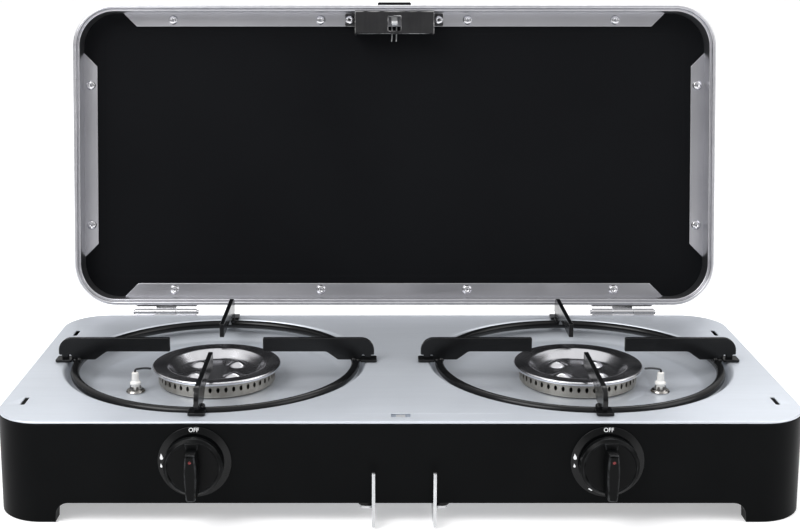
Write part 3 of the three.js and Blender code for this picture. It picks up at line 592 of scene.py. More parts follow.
latchSteel = finishMaterial("latchSteel", {
    "colour": (0.055, 0.055, 0.058), "otherColour": (0.085, 0.085, 0.088), "roughness": (0.26, 0.34),
    "wornColour": (0.85, 0.85, 0.85), "wear": 1.0, "streaks": 0.1, "bump": 0.2,
    "grain": ("brushed", {"Stretch": (40, 3, 40), "Scale": 50.0}, 0.006),
    "shader": {"Metallic": 1.0}})
chrome = finishMaterial("chrome", {
    "colour": (0.62, 0.62, 0.64), "otherColour": (0.68, 0.68, 0.70), "roughness": (0.08, 0.16),
    "smudgeScale": 90.0, "streaks": 0.04, "grain": ("turned", {"Rings": 3000.0}, 0.002),
    "shader": {"Metallic": 1.0}})
zincSteel = finishMaterial("zincSteel", {
    "colour": (0.50, 0.51, 0.52), "otherColour": (0.62, 0.63, 0.64), "driftScale": 120.0,
    "wornColour": (0.85, 0.86, 0.87), "wear": 0.8, "roughness": (0.24, 0.38), "streaks": 0.12,
    "grain": ("brushed", {"Stretch": (30, 30, 3), "Scale": 45.0}, 0.012),
    "shader": {"Metallic": 0.95}})
nutSteel = finishMaterial("nutSteel", {
    "colour": (0.24, 0.23, 0.22), "otherColour": (0.36, 0.35, 0.33), "driftScale": 150.0,
    "wornColour": (0.8, 0.79, 0.77), "wear": 0.8, "roughness": (0.16, 0.28), "streaks": 0.1,
    "grain": ("turned", {"Rings": 2500.0}, 0.006), "shader": {"Metallic": 1.0}})
plainSteel = finishMaterial("plainSteel", {
    "colour": (0.36, 0.37, 0.38), "otherColour": (0.46, 0.47, 0.48), "roughness": (0.34, 0.5),
    "grain": ("brushed", {"Stretch": (3, 30, 30), "Scale": 45.0}, 0.012), "streaks": 0.2,
    "shader": {"Metallic": 0.9}})
brass = finishMaterial("brass", {
    "colour": (0.62, 0.42, 0.16), "otherColour": (0.72, 0.52, 0.22), "roughness": (0.24, 0.38),
    "wornColour": (0.85, 0.68, 0.36), "wear": 0.6, "grain": ("turned", {"Rings": 2500.0}, 0.01),
    "shader": {"Metallic": 1.0}})
blackEnamel = finishMaterial("blackEnamel", {
    "colour": (0.0036, 0.0038, 0.0043), "otherColour": (0.0054, 0.0057, 0.0063), "driftScale": 60.0,
    "wornColour": (0.016, 0.017, 0.018), "wear": 0.5, "roughness": (0.18, 0.27),
    "smudgeScale": 60.0, "grain": ("moulded", {"Scale": 500.0}, 0.02),
    "shader": {"Specular IOR Level": 0.26}})
blackPlastic = finishMaterial("blackPlastic", {
    "colour": (0.0022, 0.0024, 0.0027), "otherColour": (0.0034, 0.0037, 0.0041),
    "wornColour": (0.02, 0.021, 0.022), "wear": 0.5, "roughness": (0.20, 0.28),
    "smudgeScale": 60.0, "grain": ("moulded", {"Scale": 1600.0}, 0.006),
    "shader": {"Specular IOR Level": 0.2}})
knobPlastic = finishMaterial("knobPlastic", {
    "colour": (0.0024, 0.0026, 0.0028), "otherColour": (0.0034, 0.0036, 0.0039),
    "wornColour": (0.035, 0.037, 0.039), "wear": 0.8, "roughness": (0.30, 0.40),
    "smudgeScale": 60.0, "grain": ("moulded", {"Scale": 1400.0}, 0.008),
    "shader": {"Specular IOR Level": 0.07}})
whiteCeramic = finishMaterial("whiteCeramic", {
    "colour": (0.80, 0.79, 0.76), "otherColour": (0.86, 0.85, 0.83), "roughness": (0.12, 0.22),
    "smudgeScale": 120.0, "grain": ("moulded", {"Scale": 600.0}, 0.01),
    "shader": {"Coat Weight": 0.6, "Coat Roughness": 0.06}})
whiteSleeve = finishMaterial("whiteSleeve", {
    "colour": (0.66, 0.64, 0.59), "otherColour": (0.74, 0.72, 0.68), "roughness": (0.5, 0.65),
    "grain": ("moulded", {"Scale": 1500.0}, 0.03), "shader": {"Specular IOR Level": 0.4}})
darkWire = finishMaterial("darkWire", {
    "colour": (0.030, 0.031, 0.034), "otherColour": (0.060, 0.062, 0.066), "driftScale": 200.0,
    "roughness": (0.3, 0.45), "grain": ("moulded", {"Scale": 2000.0}, 0.02),
    "shader": {"Metallic": 0.8}})
whitePrint = finishMaterial("whitePrint", {
    "colour": (0.78, 0.79, 0.80), "otherColour": (0.86, 0.87, 0.88), "driftScale": 900.0,
    "roughness": (0.45, 0.6), "grain": ("moulded", {"Scale": 2500.0}, 0.01)})
redPrint = finishMaterial("redPrint", {
    "colour": (0.16, 0.012, 0.014), "otherColour": (0.22, 0.02, 0.02), "driftScale": 900.0,
    "roughness": (0.4, 0.55), "grain": ("moulded", {"Scale": 2500.0}, 0.01)})
print("stage: materials made")


# casing

skirtSize = {
    "corner": 34, "sheet": 1.2, "topLip": 7.4, "hem": 11, "rise": 13.6, "footLength": 44,
    "footFillet": 8.5, "topRound": 1.1, "bottomRound": 0.55,
}


def makeSkirt():
    size = skirtSize
    half, top, sheet = casingWidth / 2, shellHigh.z / mm, size["sheet"]
    fillet, rise = size["footFillet"], size["rise"]

    def feet(length):
        first = size["footLength"] - size["corner"]
        lifts = [(first - 0.3, 0.0)]
        for k in range(9):
            angle = radians(90 * k / 8)
            lifts.append((first + fillet * (1 - cos(angle)), rise - fillet + fillet * sin(angle)))
        return lifts + [(length - distance, lift) for distance, lift in reversed(lifts)]

    columns = []
    for point, outward, lift in perimeter(-half, half, 0, casingDepth, size["corner"], 16, feet):
        path, arcs = roundPath([
            (sheet + size["hem"], lift), (0, lift, size["bottomRound"]), (0, top, size["topRound"]),
            (sheet + size["topLip"], top), (sheet + size["topLip"], top - sheet),
            (sheet, top - sheet, 0.5), (sheet, lift + sheet, 0.5), (sheet + size["hem"], lift + sheet)])
        columns.append([(*(point - outward * p.x), p.y) for p in path])
    makePiece("Skirt", skin(columns, arcs, wrapAlong=True), stovePlace, skirtPaint, "base",
              ["base_shell"])


plateSize = {
    "corner": 34, "edgeRound": 0.9, "sheet": 1.0, "slotLength": 16, "slotWidth": 3.5, "slotInset": 15,
    "slotFront": 42, "slotBack": 54, "latchWidth": 13.4, "latchFront": 9.4, "latchBack": 16.6,
    "pocketDepth": 4.9, "pocketSheet": 0.6, "barbRoom": 2.6, "hookGap": 6.4,
    "wellLip": 119, "wellRound": 115.4, "wellStep": 112.8, "stepDepth": 7.4,
    "wellFloor": 97, "floorDepth": 15.6, "electrodeRing": 55.5, "ringDepth": 16.8,
    "collar": 47, "collarDepth": 15.8, "neckHole": 21, "wellSteps": 128,
}


def makeTopPlate():
    size = plateSize
    half, top, edge = casingWidth / 2, plateTop, size["edgeRound"]
    outline = rectangle(-half, half, 0, casingDepth, size["corner"], 4)
    rows = []
    for k in range(5):
        angle = pi / 2 * k / 4
        rows.append((edge * (1 - sin(angle)), top - edge * (1 - cos(angle))))
    rows.append((0, shellHigh.z / mm + 0.05))
    loops = [[(p.x, p.y, z) for p in insetLoop(outline, inset)] for inset, z in rows]
    plate = skin([list(column) for column in zip(*loops)], [True] * 4 + [False, False])

    holes = []
    burners = []
    for name, side in sides.items():
        middle = burnerPlace(name).translation
        burners.append((middle.x / mm, (middle.y - frontY) / mm))
        holes.append(circle(size["wellLip"], size["wellSteps"], *burners[-1]))
        slotX = side * (half - size["slotInset"])
        for y in (size["slotFront"], casingDepth - size["slotBack"]):
            holes.append(rectangle(slotX - size["slotWidth"] / 2, slotX + size["slotWidth"] / 2,
                                   y - size["slotLength"] / 2, y + size["slotLength"] / 2, 1.1, 30))
    holes.append(rectangle(-size["latchWidth"] / 2, size["latchWidth"] / 2,
                           size["latchFront"], size["latchBack"], 0.8, 30))
    flat = [[Vector((p.x, p.y, top)) for p in insetLoop(outline, edge)]]
    flat += [[Vector((p.x, p.y, top)) for p in reversed(hole)] for hole in holes]
    points = [p for loop in flat for p in loop]
    faces = tessellate_polygon(flat)
    addTo(plate, {"points": points, "faces": faces, "edges": [0.0] * len(faces)})

    # the well's floor slopes gently down to a ring inside the ignition nuts, then up to the collar
    for x, y in burners:
        well = turned([
            (size["wellLip"], top), (size["wellRound"], top, 2.6),
            (size["wellStep"], top - size["stepDepth"], 5),
            (size["wellFloor"], top - size["floorDepth"], 15),
            (size["electrodeRing"], top - size["ringDepth"], 14),
            (size["collar"], top - size["collarDepth"], 10),
            (size["neckHole"], top - size["collarDepth"])], size["wellSteps"], closed=False, stepDegrees=8)
        addTo(plate, well, Matrix.Translation((x, y, 0)))
    piece = makePiece("TopPlate", plate, stovePlace, plateSatin, "base",
                      ["top_plate"], sharp=50, weighted=False)
    thick = piece.modifiers.new("sheet", "SOLIDIFY")
    thick.thickness = size["sheet"] * mm
    thick.offset = -1
    evenNormals(piece)


def makeLatchPocket():
    # the shallow pressed pocket that the latch hook drops into, open at its back for the barb
    size = plateSize
    x = size["latchWidth"] / 2
    y0, y1 = size["latchFront"], size["latchBack"]
    low, high = plateTop - size["pocketDepth"], plateTop - size["sheet"] - 0.05
    gap, sheet, barb = size["hookGap"] / 2, size["pocketSheet"], y1 + size["barbRoom"]
    walls = [slab(rectangle(-x - sheet, x + sheet, y0 - sheet, barb), low - sheet, low, 0.15)]
    for x0, x1, start, end in (
            (-x - sheet, x + sheet, y0 - sheet, y0 - 0.05), (-x - sheet, -x - 0.05, y0, barb),
            (x + 0.05, x + sheet, y0, barb), (-x, -gap, y1 + 0.05, y1 + sheet),
            (gap, x, y1 + 0.05, y1 + sheet)):
        walls.append(slab(rectangle(x0, x1, start, end), low, high, 0.1))
    makePiece("LatchPocket", merged(*walls), stovePlace, plateSatin, "base")


# burners

cupSize = {"radius": 45, "sheet": 1.6, "neck": 20, "ports": 48, "portWidth": 2.8, "portHeight": 4.2}
capSize = {
    "radius": 49.5, "sheet": 1.2, "roll": 1.4, "dish": 38, "floor": 30, "depth": 7,
    "bossRadius": 9, "bossCircle": 20.5, "bossRise": 3.8,
}


def makeBurnerCup(name):
    # the wall is a ring of tiles, each with one pointed oval port through it
    size = cupSize
    low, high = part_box("burner_cup_" + name)
    neckBottom = low.z / mm - plateTop
    top = high.z / mm - plateTop
    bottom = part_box("electrode_nut_" + name)[0].z / mm - plateTop + 0.7
    outer, sheet = size["radius"], size["sheet"]
    middle = (bottom + top) / 2 + 0.4
    band = 2.6  # half the height of the tiled band
    tile = pi / size["ports"]
    shape = newShape()
    frameLoop = [(1, k / 2) for k in range(-2, 2)] + [(-k / 2, 1) for k in range(-2, 2)]
    frameLoop += [(-1, -k / 2) for k in range(-2, 2)] + [(k / 2, -1) for k in range(-2, 2)]
    for port in range(size["ports"]):
        turn = 2 * tile * port
        rings = []
        for radius, share in ((outer, 1.0), (outer, 0.0), (outer - 0.3, -0.1), (outer - sheet, -0.1),
                              (outer - sheet, 1.0)):
            ring = []
            for x, z in frameLoop:
                angle = atan2(z, x)
                pinch = 1 - 0.25 * abs(sin(angle)) ** 3
                holeX = size["portWidth"] / 2 * cos(angle) * pinch / outer * (1 - 0.12 * (share == 0))
                holeZ = size["portHeight"] / 2 * sin(angle)
                edgeX, edgeZ = x * tile, z * band
                blend = max(share, 0)
                across = turn + holeX + (edgeX - holeX) * blend
                up = middle + holeZ + (edgeZ - holeZ) * blend
                ring.append((radius * cos(across), radius * sin(across), up))
            rings.append(ring)
        addTo(shape, skin([list(column) for column in zip(*rings)], [False] * 5))
    steps = size["ports"] * 4
    wallTop, wallBottom = middle + band, middle - band
    addTo(shape, turned([(outer, wallTop), (outer, top, 0.3), (outer - sheet, top, 0.3),
                         (outer - sheet, wallTop)], steps, closed=False))
    addTo(shape, turned([
        (outer - sheet, wallBottom), (outer - sheet, bottom + sheet, 1.0),
        (size["neck"] - sheet, bottom + sheet, 1.0), (size["neck"] - sheet, neckBottom + sheet),
        (0.02, neckBottom + sheet), (0.02, neckBottom), (size["neck"], neckBottom, 1.0),
        (size["neck"], bottom, 1.5), (outer, bottom, 1.6), (outer, wallBottom)], steps, closed=False))
    makePiece("BurnerCup_" + name, shape, burnerPlace(name), burnerSteel, "base",
              ["burner_cup_" + name], sharp=50)


def makeBurnerCap(name):
    size = capSize
    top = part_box("burner_cap_" + name)[1].z / mm - plateTop
    sheet = size["sheet"]
    floor = top - size["depth"]
    path, arcs = roundPath([
        (0.02, floor), (size["floor"], floor, 5), (size["dish"], top - 0.3, 4),
        (size["radius"], top, 1.3), (size["radius"], top - size["roll"] - sheet, 0.5),
        (size["radius"] - 1, top - size["roll"] - sheet, 0.4), (size["radius"] - 1, top - sheet, 0.3),
        (size["dish"] - sheet, top - sheet - 0.3, 3), (size["floor"] - sheet, floor - sheet, 4),
        (0.02, floor - sheet)], stepDegrees=8)
    fine, marks = [], []
    for a, b, arc in zip(path, path[1:], arcs):
        pieces = max(1, ceil((b - a).length / 1.3)) if min(a.x, b.x) < size["floor"] + 2 else 1
        fine += [a.lerp(b, k / pieces) for k in range(pieces)]
        marks += [arc] * pieces
    fine.append(path[-1])
    marks.append(False)
    bosses = [(size["bossCircle"] * cos(radians(a)), size["bossCircle"] * sin(radians(a)))
              for a in (45, 135, 225, 315)]
    columns = []
    steps = 144
    for i in range(steps):
        turn = 2 * pi * i / steps
        column = []
        for p in fine:
            x, y = p.x * cos(turn), p.x * sin(turn)
            lift = 0.0
            for bossX, bossY in bosses:
                share = hypot(x - bossX, y - bossY) / size["bossRadius"]
                if share < 1:
                    lift += size["bossRise"] * (0.5 + 0.5 * cos(pi * share)) ** 0.7
            column.append((x, y, p.y + lift))
        columns.append(column)
    makePiece("BurnerCap_" + name, skin(columns, marks), burnerPlace(name), mirrorSteel, "base",
              ["burner_cap_" + name], sharp=60, weighted=False)


electrodeSize = {"radius": 3.2, "shoulder": 4.2, "nut": 7.6, "wire": 0.8, "reach": 12.5, "rise": 2}


def makeElectrode(name):
    size = electrodeSize
    low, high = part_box("electrode_" + name)
    nutLow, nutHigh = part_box("electrode_nut_" + name)
    middle = middleOf("electrode_" + name)
    place = Matrix.Translation((middle.x, middle.y, 0))
    bottom, top = low.z / mm, high.z / mm
    base, nutTop = nutLow.z / mm, nutHigh.z / mm
    radius = size["radius"]
    body = turned([
        (0.02, bottom), (radius, bottom, 0.5), (radius, nutTop + 0.4, 0.2),
        (size["shoulder"], nutTop + 0.7, 0.4), (size["shoulder"], nutTop + 2.2, 0.6),
        (radius - 0.3, nutTop + 3.6, 0.5), (radius - 0.7, top, 0.9), (0.02, top)], 40, closed=False)
    makePiece("Electrode_" + name, body, place, whiteCeramic, "base",
              ["electrode_" + name])
    # a push-on nut: a domed skirt with six tongues that grip the ceramic
    nut = turned([
        (radius + 1.1, base + 2.4), (size["nut"] - 1.2, base + 1.6, 0.6), (size["nut"], base, 0.3),
        (size["nut"] - 0.9, base, 0.2), (size["nut"] - 1.8, base + 0.9, 0.4),
        (radius + 1.1, base + 1.7)], 48)
    for i in range(6):
        tongue = slab([Vector(p) for p in ((-1.3, 0), (1.3, 0), (0.8, 2.6), (-0.8, 2.6))], -0.25, 0.25, 0.1)
        lean = Matrix.Rotation(radians(60 * i), 4, "Z") @ Matrix.Translation((radius + 1.3, 0, base + 1.9))
        lean = lean @ Matrix.Rotation(radians(-18), 4, "Y") @ Matrix.Rotation(pi / 2, 4, "Z")
        addTo(nut, tongue, lean @ Matrix.Rotation(pi / 2, 4, "X"))
    makePiece("ElectrodeNut_" + name, nut, place, nutSteel, "base", ["electrode_nut_" + name])
    burner = burnerPlace(name).translation
    towards = Vector((burner.x - middle.x, burner.y - middle.y)).normalized()
    reach, rise = size["reach"], size["rise"]
    spots = [(0, -1.5), (0, 0.8), (0.5, rise - 0.3), (2.0, rise + 0.1), (reach * 0.6, rise),
             (reach, rise * 0.5)]
    line = smoothLine([(*(towards * r), top + z) for r, z in spots])
    makePiece("ElectrodeWire_" + name, rod(line, size["wire"], 12), place, darkWire, "base",
              ["electrode_tip_" + name], weighted=False)


# pan supports

panSize = {
    "ring": 107.5, "rod": 3.3, "drop": 2.3, "armInner": 36, "armOuter": 122, "armTop": 18.5,
    "armUnder": 7.6, "slopeInner": 85, "slopeOuter": 94, "sheet": 3.5, "shoulder": 10,
    "footWidth": 12, "footInner": 111.2, "footOuter": 124, "footSheet": 2, "weld": 2.1,
    "neckInner": 114.5, "neckOuter": 119.5, "neckTop": 5,
}


def makePanSupport(name):
    size = panSize
    place = burnerPlace(name)
    body = "pan_support_" + name
    section = [(size["ring"] + size["rod"] * cos(2 * pi * k / 20),
                size["rod"] * sin(2 * pi * k / 20) - size["drop"]) for k in range(20)]
    makePiece("PanRing_" + name, turned(section, 144), place, blackEnamel, body,
              ["pan_ring_" + name], weighted=False)
    low = size["rod"] - size["drop"] + 0.1
    outline, _ = roundPath([
        (size["armInner"], size["armUnder"], 0.8), (size["slopeInner"], size["armUnder"], 5),
        (size["slopeOuter"], low, 2), (size["neckInner"] - 2.6, low, 1),
        (size["neckInner"] - 2, size["neckTop"], 0.8),
        (size["neckInner"], size["neckTop"], 0.6), (size["neckInner"], low), (size["neckOuter"], low),
        (size["neckOuter"], size["neckTop"], 0.6), (size["armOuter"], size["neckTop"], 1),
        (size["armOuter"], size["armTop"], size["shoulder"]),
        (size["armInner"], size["armTop"], 1.2)], stepDegrees=10)
    bar = slab(outline, -size["sheet"] / 2, size["sheet"] / 2, 0.55)
    half = size["footWidth"] / 2
    foot = slab(rectangle(size["footInner"], size["footOuter"], -half, half, 1.6), 0.25,
                0.25 + size["footSheet"], 0.5)
    arm = addTo(foot, bar, Matrix.Rotation(pi / 2, 4, "X"))
    for face in (-1, 1):
        for r, z, scale in ((size["ring"] - 1.5, 1.2, 1.0), (size["ring"] + 2.0, 0.6, 0.85)):
            ball = turned([(size["weld"] * scale * cos(radians(a)), size["weld"] * scale * sin(radians(a)))
                           for a in range(-90, 91, 18)], 14, closed=False)
            addTo(arm, ball, Matrix.Translation((r, face * (size["sheet"] / 2 + 0.5), z)))
    for i, direction in enumerate(("right", "back", "left", "front")):
        turn = place @ Matrix.Rotation(pi / 2 * i, 4, "Z")
        makePiece(f"PanArm_{name}_{direction}", arm, turn, blackEnamel, body,
                  [f"pan_arm_{name}_{direction}"])


# knobs and dials

dialSize = {"radius": 25, "hole": 8.5, "front": 2.3, "back": 0.3, "edge": 1.1, "coneInner": 20.6}
knobSize = {
    "radius": 20, "back": 5.9, "disc": 12.4, "front": 25, "bevel": 1.8, "gripHalf": 5.0,
    "gripTop": 14, "pointerTop": 18, "dot": 1.1, "dotBelow": 5.2,
}


def makeDial(name):
    size = dialSize
    ring = turned([
        (size["hole"], size["back"]), (size["radius"], size["back"], 0.3),
        (size["radius"], size["edge"], 0.3), (size["coneInner"], size["front"], 0.4),
        (size["hole"], size["front"], 0.3)], 96)
    makePiece("Dial_" + name, ring, knobPlace(name), blackPlastic, "base",
              ["dial_plate_" + name], sharp=50)


def flame(width, height):
    # a teardrop with its tip leaning over
    outline, _ = roundPath([
        (0, 0, width * 0.45), (width / 2, height * 0.12, width * 0.35),
        (width / 2, height * 0.45, width * 0.5), (width * 0.05, height, 0.05),
        (-width / 2, height * 0.4, width * 0.5), (-width / 2, height * 0.1, width * 0.3)], stepDegrees=20)
    return outline


def makePrint(name):
    # OFF at the top, a large and a small flame at the left, and a tick below
    place = knobPlace(name)
    size = dialSize
    fall = size["front"] - size["edge"]
    across = size["radius"] - size["coneInner"]
    tilt = atan2(fall, across)

    def onCone(turn, radius):
        # a place on the sloping ring, upright whichever way round it is
        height = size["front"] - fall * (radius - size["coneInner"]) / across
        spot = Matrix.Rotation(radians(turn), 4, "Z") @ Matrix.Translation((0, radius, height))
        return spot @ Matrix.Rotation(-tilt, 4, "X")

    marks = newShape()
    for turn, high in ((80, 4.4), (96, 3.0)):
        drawn = slab(flame(high * 0.5, high), 0, 0.07, 0.02, steps=1)
        spot = onCone(turn, 22.7) @ Matrix.Rotation(radians(8 - turn), 4, "Z")
        addTo(marks, drawn, spot @ Matrix.Translation((0, -high / 2, 0)))
    tick = slab(rectangle(-1.5, 1.5, -0.45, 0.45, 0.4, 30), 0, 0.07, 0.02, steps=1)
    addTo(marks, tick, onCone(150, 22.6))
    words = bpy.data.curves.new("offWord", "FONT")
    words.body = "OFF"
    words.size = 4.0
    words.align_x = "CENTER"
    words.align_y = "CENTER"
    words.extrude = 0.035
    words.offset = 0.03
    letters = inScene("offWord", words)
    bpy.context.view_layer.update()
    drawn = bpy.data.meshes.new_from_object(letters.evaluated_get(bpy.context.evaluated_depsgraph_get()))
    bpy.data.objects.remove(letters)
    word = {"points": [v.co.copy() for v in drawn.vertices],
            "faces": [tuple(face.vertices) for face in drawn.polygons],
            "edges": [0.0] * len(drawn.polygons)}
    addTo(marks, word, onCone(0, 22.8) @ Matrix.Translation((0, 0, 0.036)))
    makePiece("DialPrint_" + name, marks, place, whitePrint, "base", weighted=False)


def makeKnob(name):
    size = knobSize
    place = knobPlace(name)
    radius, disc, front = size["radius"], size["disc"], size["front"]
    body = turned([
        (0.02, size["back"]), (radius, size["back"], 0.5), (radius, disc - size["bevel"], 0.7),
        (radius - size["bevel"], disc, 0.5), (radius - 2.6, disc, 0.2), (radius - 3.0, disc - 0.5, 0.3),
        (0.02, disc - 0.5)], 96, closed=False)
    makePiece("KnobDisc_" + name, body, place, knobPlastic, "knob_" + name,
              ["knob_" + name], sharp=50)
    # the grip is wider at its middle, with a crowned front and a stepped pointer above it
    half, low, high = size["gripHalf"], -radius + 0.6, size["gripTop"]
    rows = []
    layers = [(disc - 0.8, 0.4), (disc + 0.4, 0.15), (disc + 1.5, 0.0), (front - 3.2, 0.35),
              (front - 1.4, 0.5), (front - 0.5, 0.8), (front - 0.1, 1.25), (front, 1.7)]
    for z, inset in layers:
        outline, _ = roundPath([
            (-half * 0.74, low, 2.4), (half * 0.74, low, 2.4), (half, 0, 60), (half * 0.76, high, 0.9),
            (-half * 0.76, high, 0.9), (-half, 0, 60)], stepDegrees=10)
        rows.append([(p.x, p.y, z) for p in insetLoop(turnedLeft(outline), inset)])
    grip = skin([list(column) for column in zip(*rows)], [False] * 4 + [True] * 4)
    for ring in (rows[0], rows[-1]):
        addTo(grip, {"points": ring, "faces": [tuple(range(len(ring)))], "edges": [0.0]})
    narrow, wide, tip = half * 0.72, half * 0.95, size["pointerTop"]
    pointer = ((-narrow, high - 1), (narrow, high - 1), (wide, tip), (-wide, tip))
    addTo(grip, slab([Vector(p) for p in pointer], disc - 1.0, disc + 2.4, 0.5))
    makePiece("KnobGrip_" + name, grip, place, knobPlastic, "knob_" + name, sharp=50)
    dot = turned([(0.02, front - 0.3), (size["dot"], front - 0.3), (size["dot"], front, 0.05),
                  (0.02, front)], 24, closed=False)
    dotPlace = place @ Matrix.Translation((0, (high - size["dotBelow"]) * mm, 0))
    makePiece("KnobDot_" + name, dot, dotPlace, redPrint, "knob_" + name, weighted=False)


# lid, drawn shut about the hinge axis

lidSize = {
    "corner": 36, "rim": -0.2, "depth": 25, "wall": 3.2, "ridge": 5.2, "ridgeStart": 2.5,
    "lip": 8, "flange": 17, "flangeStart": 20.5, "flangeSheet": 1.5, "flangeEnd": 40, "panelSheet": 1,
    "rivetAcross": (65, 195.5), "rivetSide": 62, "latchRivet": 39,
}


def makeLidFrame():
    size = lidSize
    rim, half = size["rim"], casingWidth / 2
    wall, ridge, depth = size["wall"], size["ridge"], size["depth"]
    under = size["flangeStart"] + size["flangeSheet"]
    path, arcs = roundPath([
        (0, 0, 1.5), (wall - 0.2, 0, 1.3), (wall, size["ridgeStart"] + 0.4, 0.3),
        (ridge, size["ridgeStart"], 0.9), (ridge, under, 0.2), (wall, under), (wall, under + 1.6),
        (size["lip"], under + 1.6, 0.2), (size["lip"], depth, 0.4), (0, depth, 2.6)], stepDegrees=15)
    columns = []
    for point, outward, _ in perimeter(-half, half, lidFront, -hingeBack, size["corner"], 20,
                                       lambda length: [(length / 2 - 30, 0), (length / 2 + 30, 0)]):
        columns.append([(*(point - outward * p.x), rim + p.y) for p in path])
    piece = makePiece("LidFrame", skin(columns, arcs, wrapAlong=True), lidPlace, aluminium, "lid",
                      ["lid_frame"])
    tab = latchSize
    slotLow = rim + tab["carrierDepth"] - 1
    slot = slab(rectangle(-tab["tabWidth"] / 2 - 0.6, tab["tabWidth"] / 2 + 0.6, lidFront - 1,
                          lidFront + ridge + 1, 0.1), slotLow, slotLow + tab["tabSheet"] + 1, 0.05)
    cutAway(piece, [slot])


def makeLidStrips():
    size = lidSize
    low = size["rim"] + size["flangeStart"]
    inner = size["ridge"] - 0.4
    reach = size["flange"] - inner
    middle = (lidFront - hingeBack) / 2
    sideX = casingWidth / 2 - inner
    for label, length, turn, x, y in (
            ("front", casingWidth, 0, 0, lidFront + inner),
            ("back", casingWidth, 180, 0, -hingeBack - inner),
            ("left", casingDepth, -90, -sideX, middle), ("right", casingDepth, 90, sideX, middle)):
        half = length / 2 - size["flangeEnd"]
        outline, _ = roundPath([
            (-half, 0), (half, 0), (half - reach, reach, 0.6), (-half + reach, reach, 0.6)])
        strip = slab(outline, low, low + size["flangeSheet"], 0.45)
        turnedPlace = Matrix.Translation((x * mm, y * mm, 0)) @ Matrix.Rotation(radians(turn), 4, "Z")
        makePiece("LidStrip_" + label, strip, lidPlace @ turnedPlace, aluminium, "lid")


def makeLidPanel():
    # a thin sheet with a shallow pressed border, so that it doesn't drum
    size = lidSize
    low = size["rim"] + size["flangeStart"] + size["flangeSheet"] + 0.3
    half = casingWidth / 2
    rows = [(size["wall"] + 0.3, low + 0.25), (size["wall"] + 0.5, low), (22, low), (23.5, low + 0.25),
            (25, low + 0.35)]
    stations = perimeter(-half, half, lidFront, -hingeBack, size["corner"], 12)
    loops = []
    for inset, z in rows + [(inset, z + size["panelSheet"] * 0.6) for inset, z in reversed(rows)]:
        loops.append([(*(p - outward * inset), z) for p, outward, _ in stations])
    shape = skin([list(column) for column in zip(*loops)], [False] * len(loops))
    inner = len(rows) - 1
    count = len(stations)
    width = len(loops)
    shape["faces"] = [f for i, f in enumerate(shape["faces"]) if i % (width - 1) != inner]
    shape["edges"] = [0.0] * len(shape["faces"])
    for k in (inner, inner + 1):
        shape["faces"].append(tuple(i * width + k for i in range(count)))
        shape["edges"].append(0.0)
    for i in range(count):
        j = (i + 1) % count
        shape["faces"].append((i * width + width - 1, j * width + width - 1, j * width, i * width))
        shape["edges"].append(0.0)
    makePiece("LidPanel", shape, lidPlace, lidPaint, "lid", ["lid_panel"])


def rivet():
    # a hollow domed rivet head, seen from inside the lid: it stands down from z = 0
    return turned([(0.9, -0.3), (0.9, -1.5, 0.3), (1.7, -2.1, 0.5), (3.3, -1.7, 1.0), (4.25, -0.2, 0.3),
                   (4.25, 0.1)], 36)


def makeRivets():
    size = lidSize
    low = size["rim"] + size["flangeStart"]
    middle = (lidFront - hingeBack) / 2
    acrossStrip = (size["ridge"] + size["flange"]) / 2 + 0.2
    spots = [(side * x, y) for x in size["rivetAcross"] for side in (-1, 1)
             for y in (lidFront + acrossStrip, -hingeBack - acrossStrip)]
    spots += [(sideX * (casingWidth / 2 - acrossStrip), middle + sideY * size["rivetSide"])
              for sideX in (-1, 1) for sideY in (-1, 1)]
    heads = newShape()
    for x, y in spots:
        addTo(heads, rivet(), Matrix.Translation((x, y, low)))
    for side in (-1, 1):
        spot = (side * size["latchRivet"], lidFront + acrossStrip, low - 1.3)
        addTo(heads, rivet(), Matrix.Translation(spot))
    makePiece("LidRivets", heads, lidPlace, chrome, "lid", sharp=50)


# latch

latchSize = {
    "width": 69, "height": 19.5, "sheet": 1.2, "face": 0.5, "footWidth": 9, "windowWidth": 11,
    "windowHeight": 13, "windowFront": 9.4, "hookWidth": 5, "hookBack": 16, "hookSheet": 2, "barb": 2.2,
    "hookDepth": 4.6, "carrierWidth": 20, "carrierSheet": 2, "carrierDepth": 8.5, "tabWidth": 29,
    "tabSheet": 3, "tabProud": 3.2, "ridgeSpacing": 2.6, "wire": 0.6, "springReach": 31,
}


def makeLatchBracket():
    size = latchSize
    rim = lidSize["rim"]
    half = size["width"] / 2
    y0 = lidFront + lidSize["ridge"] + 0.3
    y1 = y0 + size["height"]
    low, high = rim + size["face"], rim + lidSize["flangeStart"] - 0.1
    sheet = size["sheet"]
    windowY = lidFront + size["windowFront"]
    window = rectangle(-size["windowWidth"] / 2, size["windowWidth"] / 2, windowY,
                       windowY + size["windowHeight"], 0.8, 30)
    face = slab(rectangle(-half, half, y0, y1, 0.6, 30), low, low + sheet, 0.4, [window])
    # the back edge is folded over, the legs go down to riveted feet
    addTo(face, slab(rectangle(-half + 0.2, half - 0.2, y1 - 1.2, y1 + 0.02, 0.2), low, low + 3.6, 0.45))
    footEnd = lidFront + lidSize["flange"]
    for side in (-1, 1):
        leg = sorted((side * half, side * (half - sheet)))
        addTo(face, slab(rectangle(leg[0], leg[1], y0, y1, 0.2), low + 0.2, high, 0.25))
        ear = sorted((side * (half - sheet), side * (half + size["footWidth"])))
        addTo(face, slab(rectangle(ear[0], ear[1], y0, footEnd, 1.5), high - sheet, high, 0.25))
    makePiece("LatchBracket", face, lidPlace, latchSteel, "lid", ["latch_bracket"])


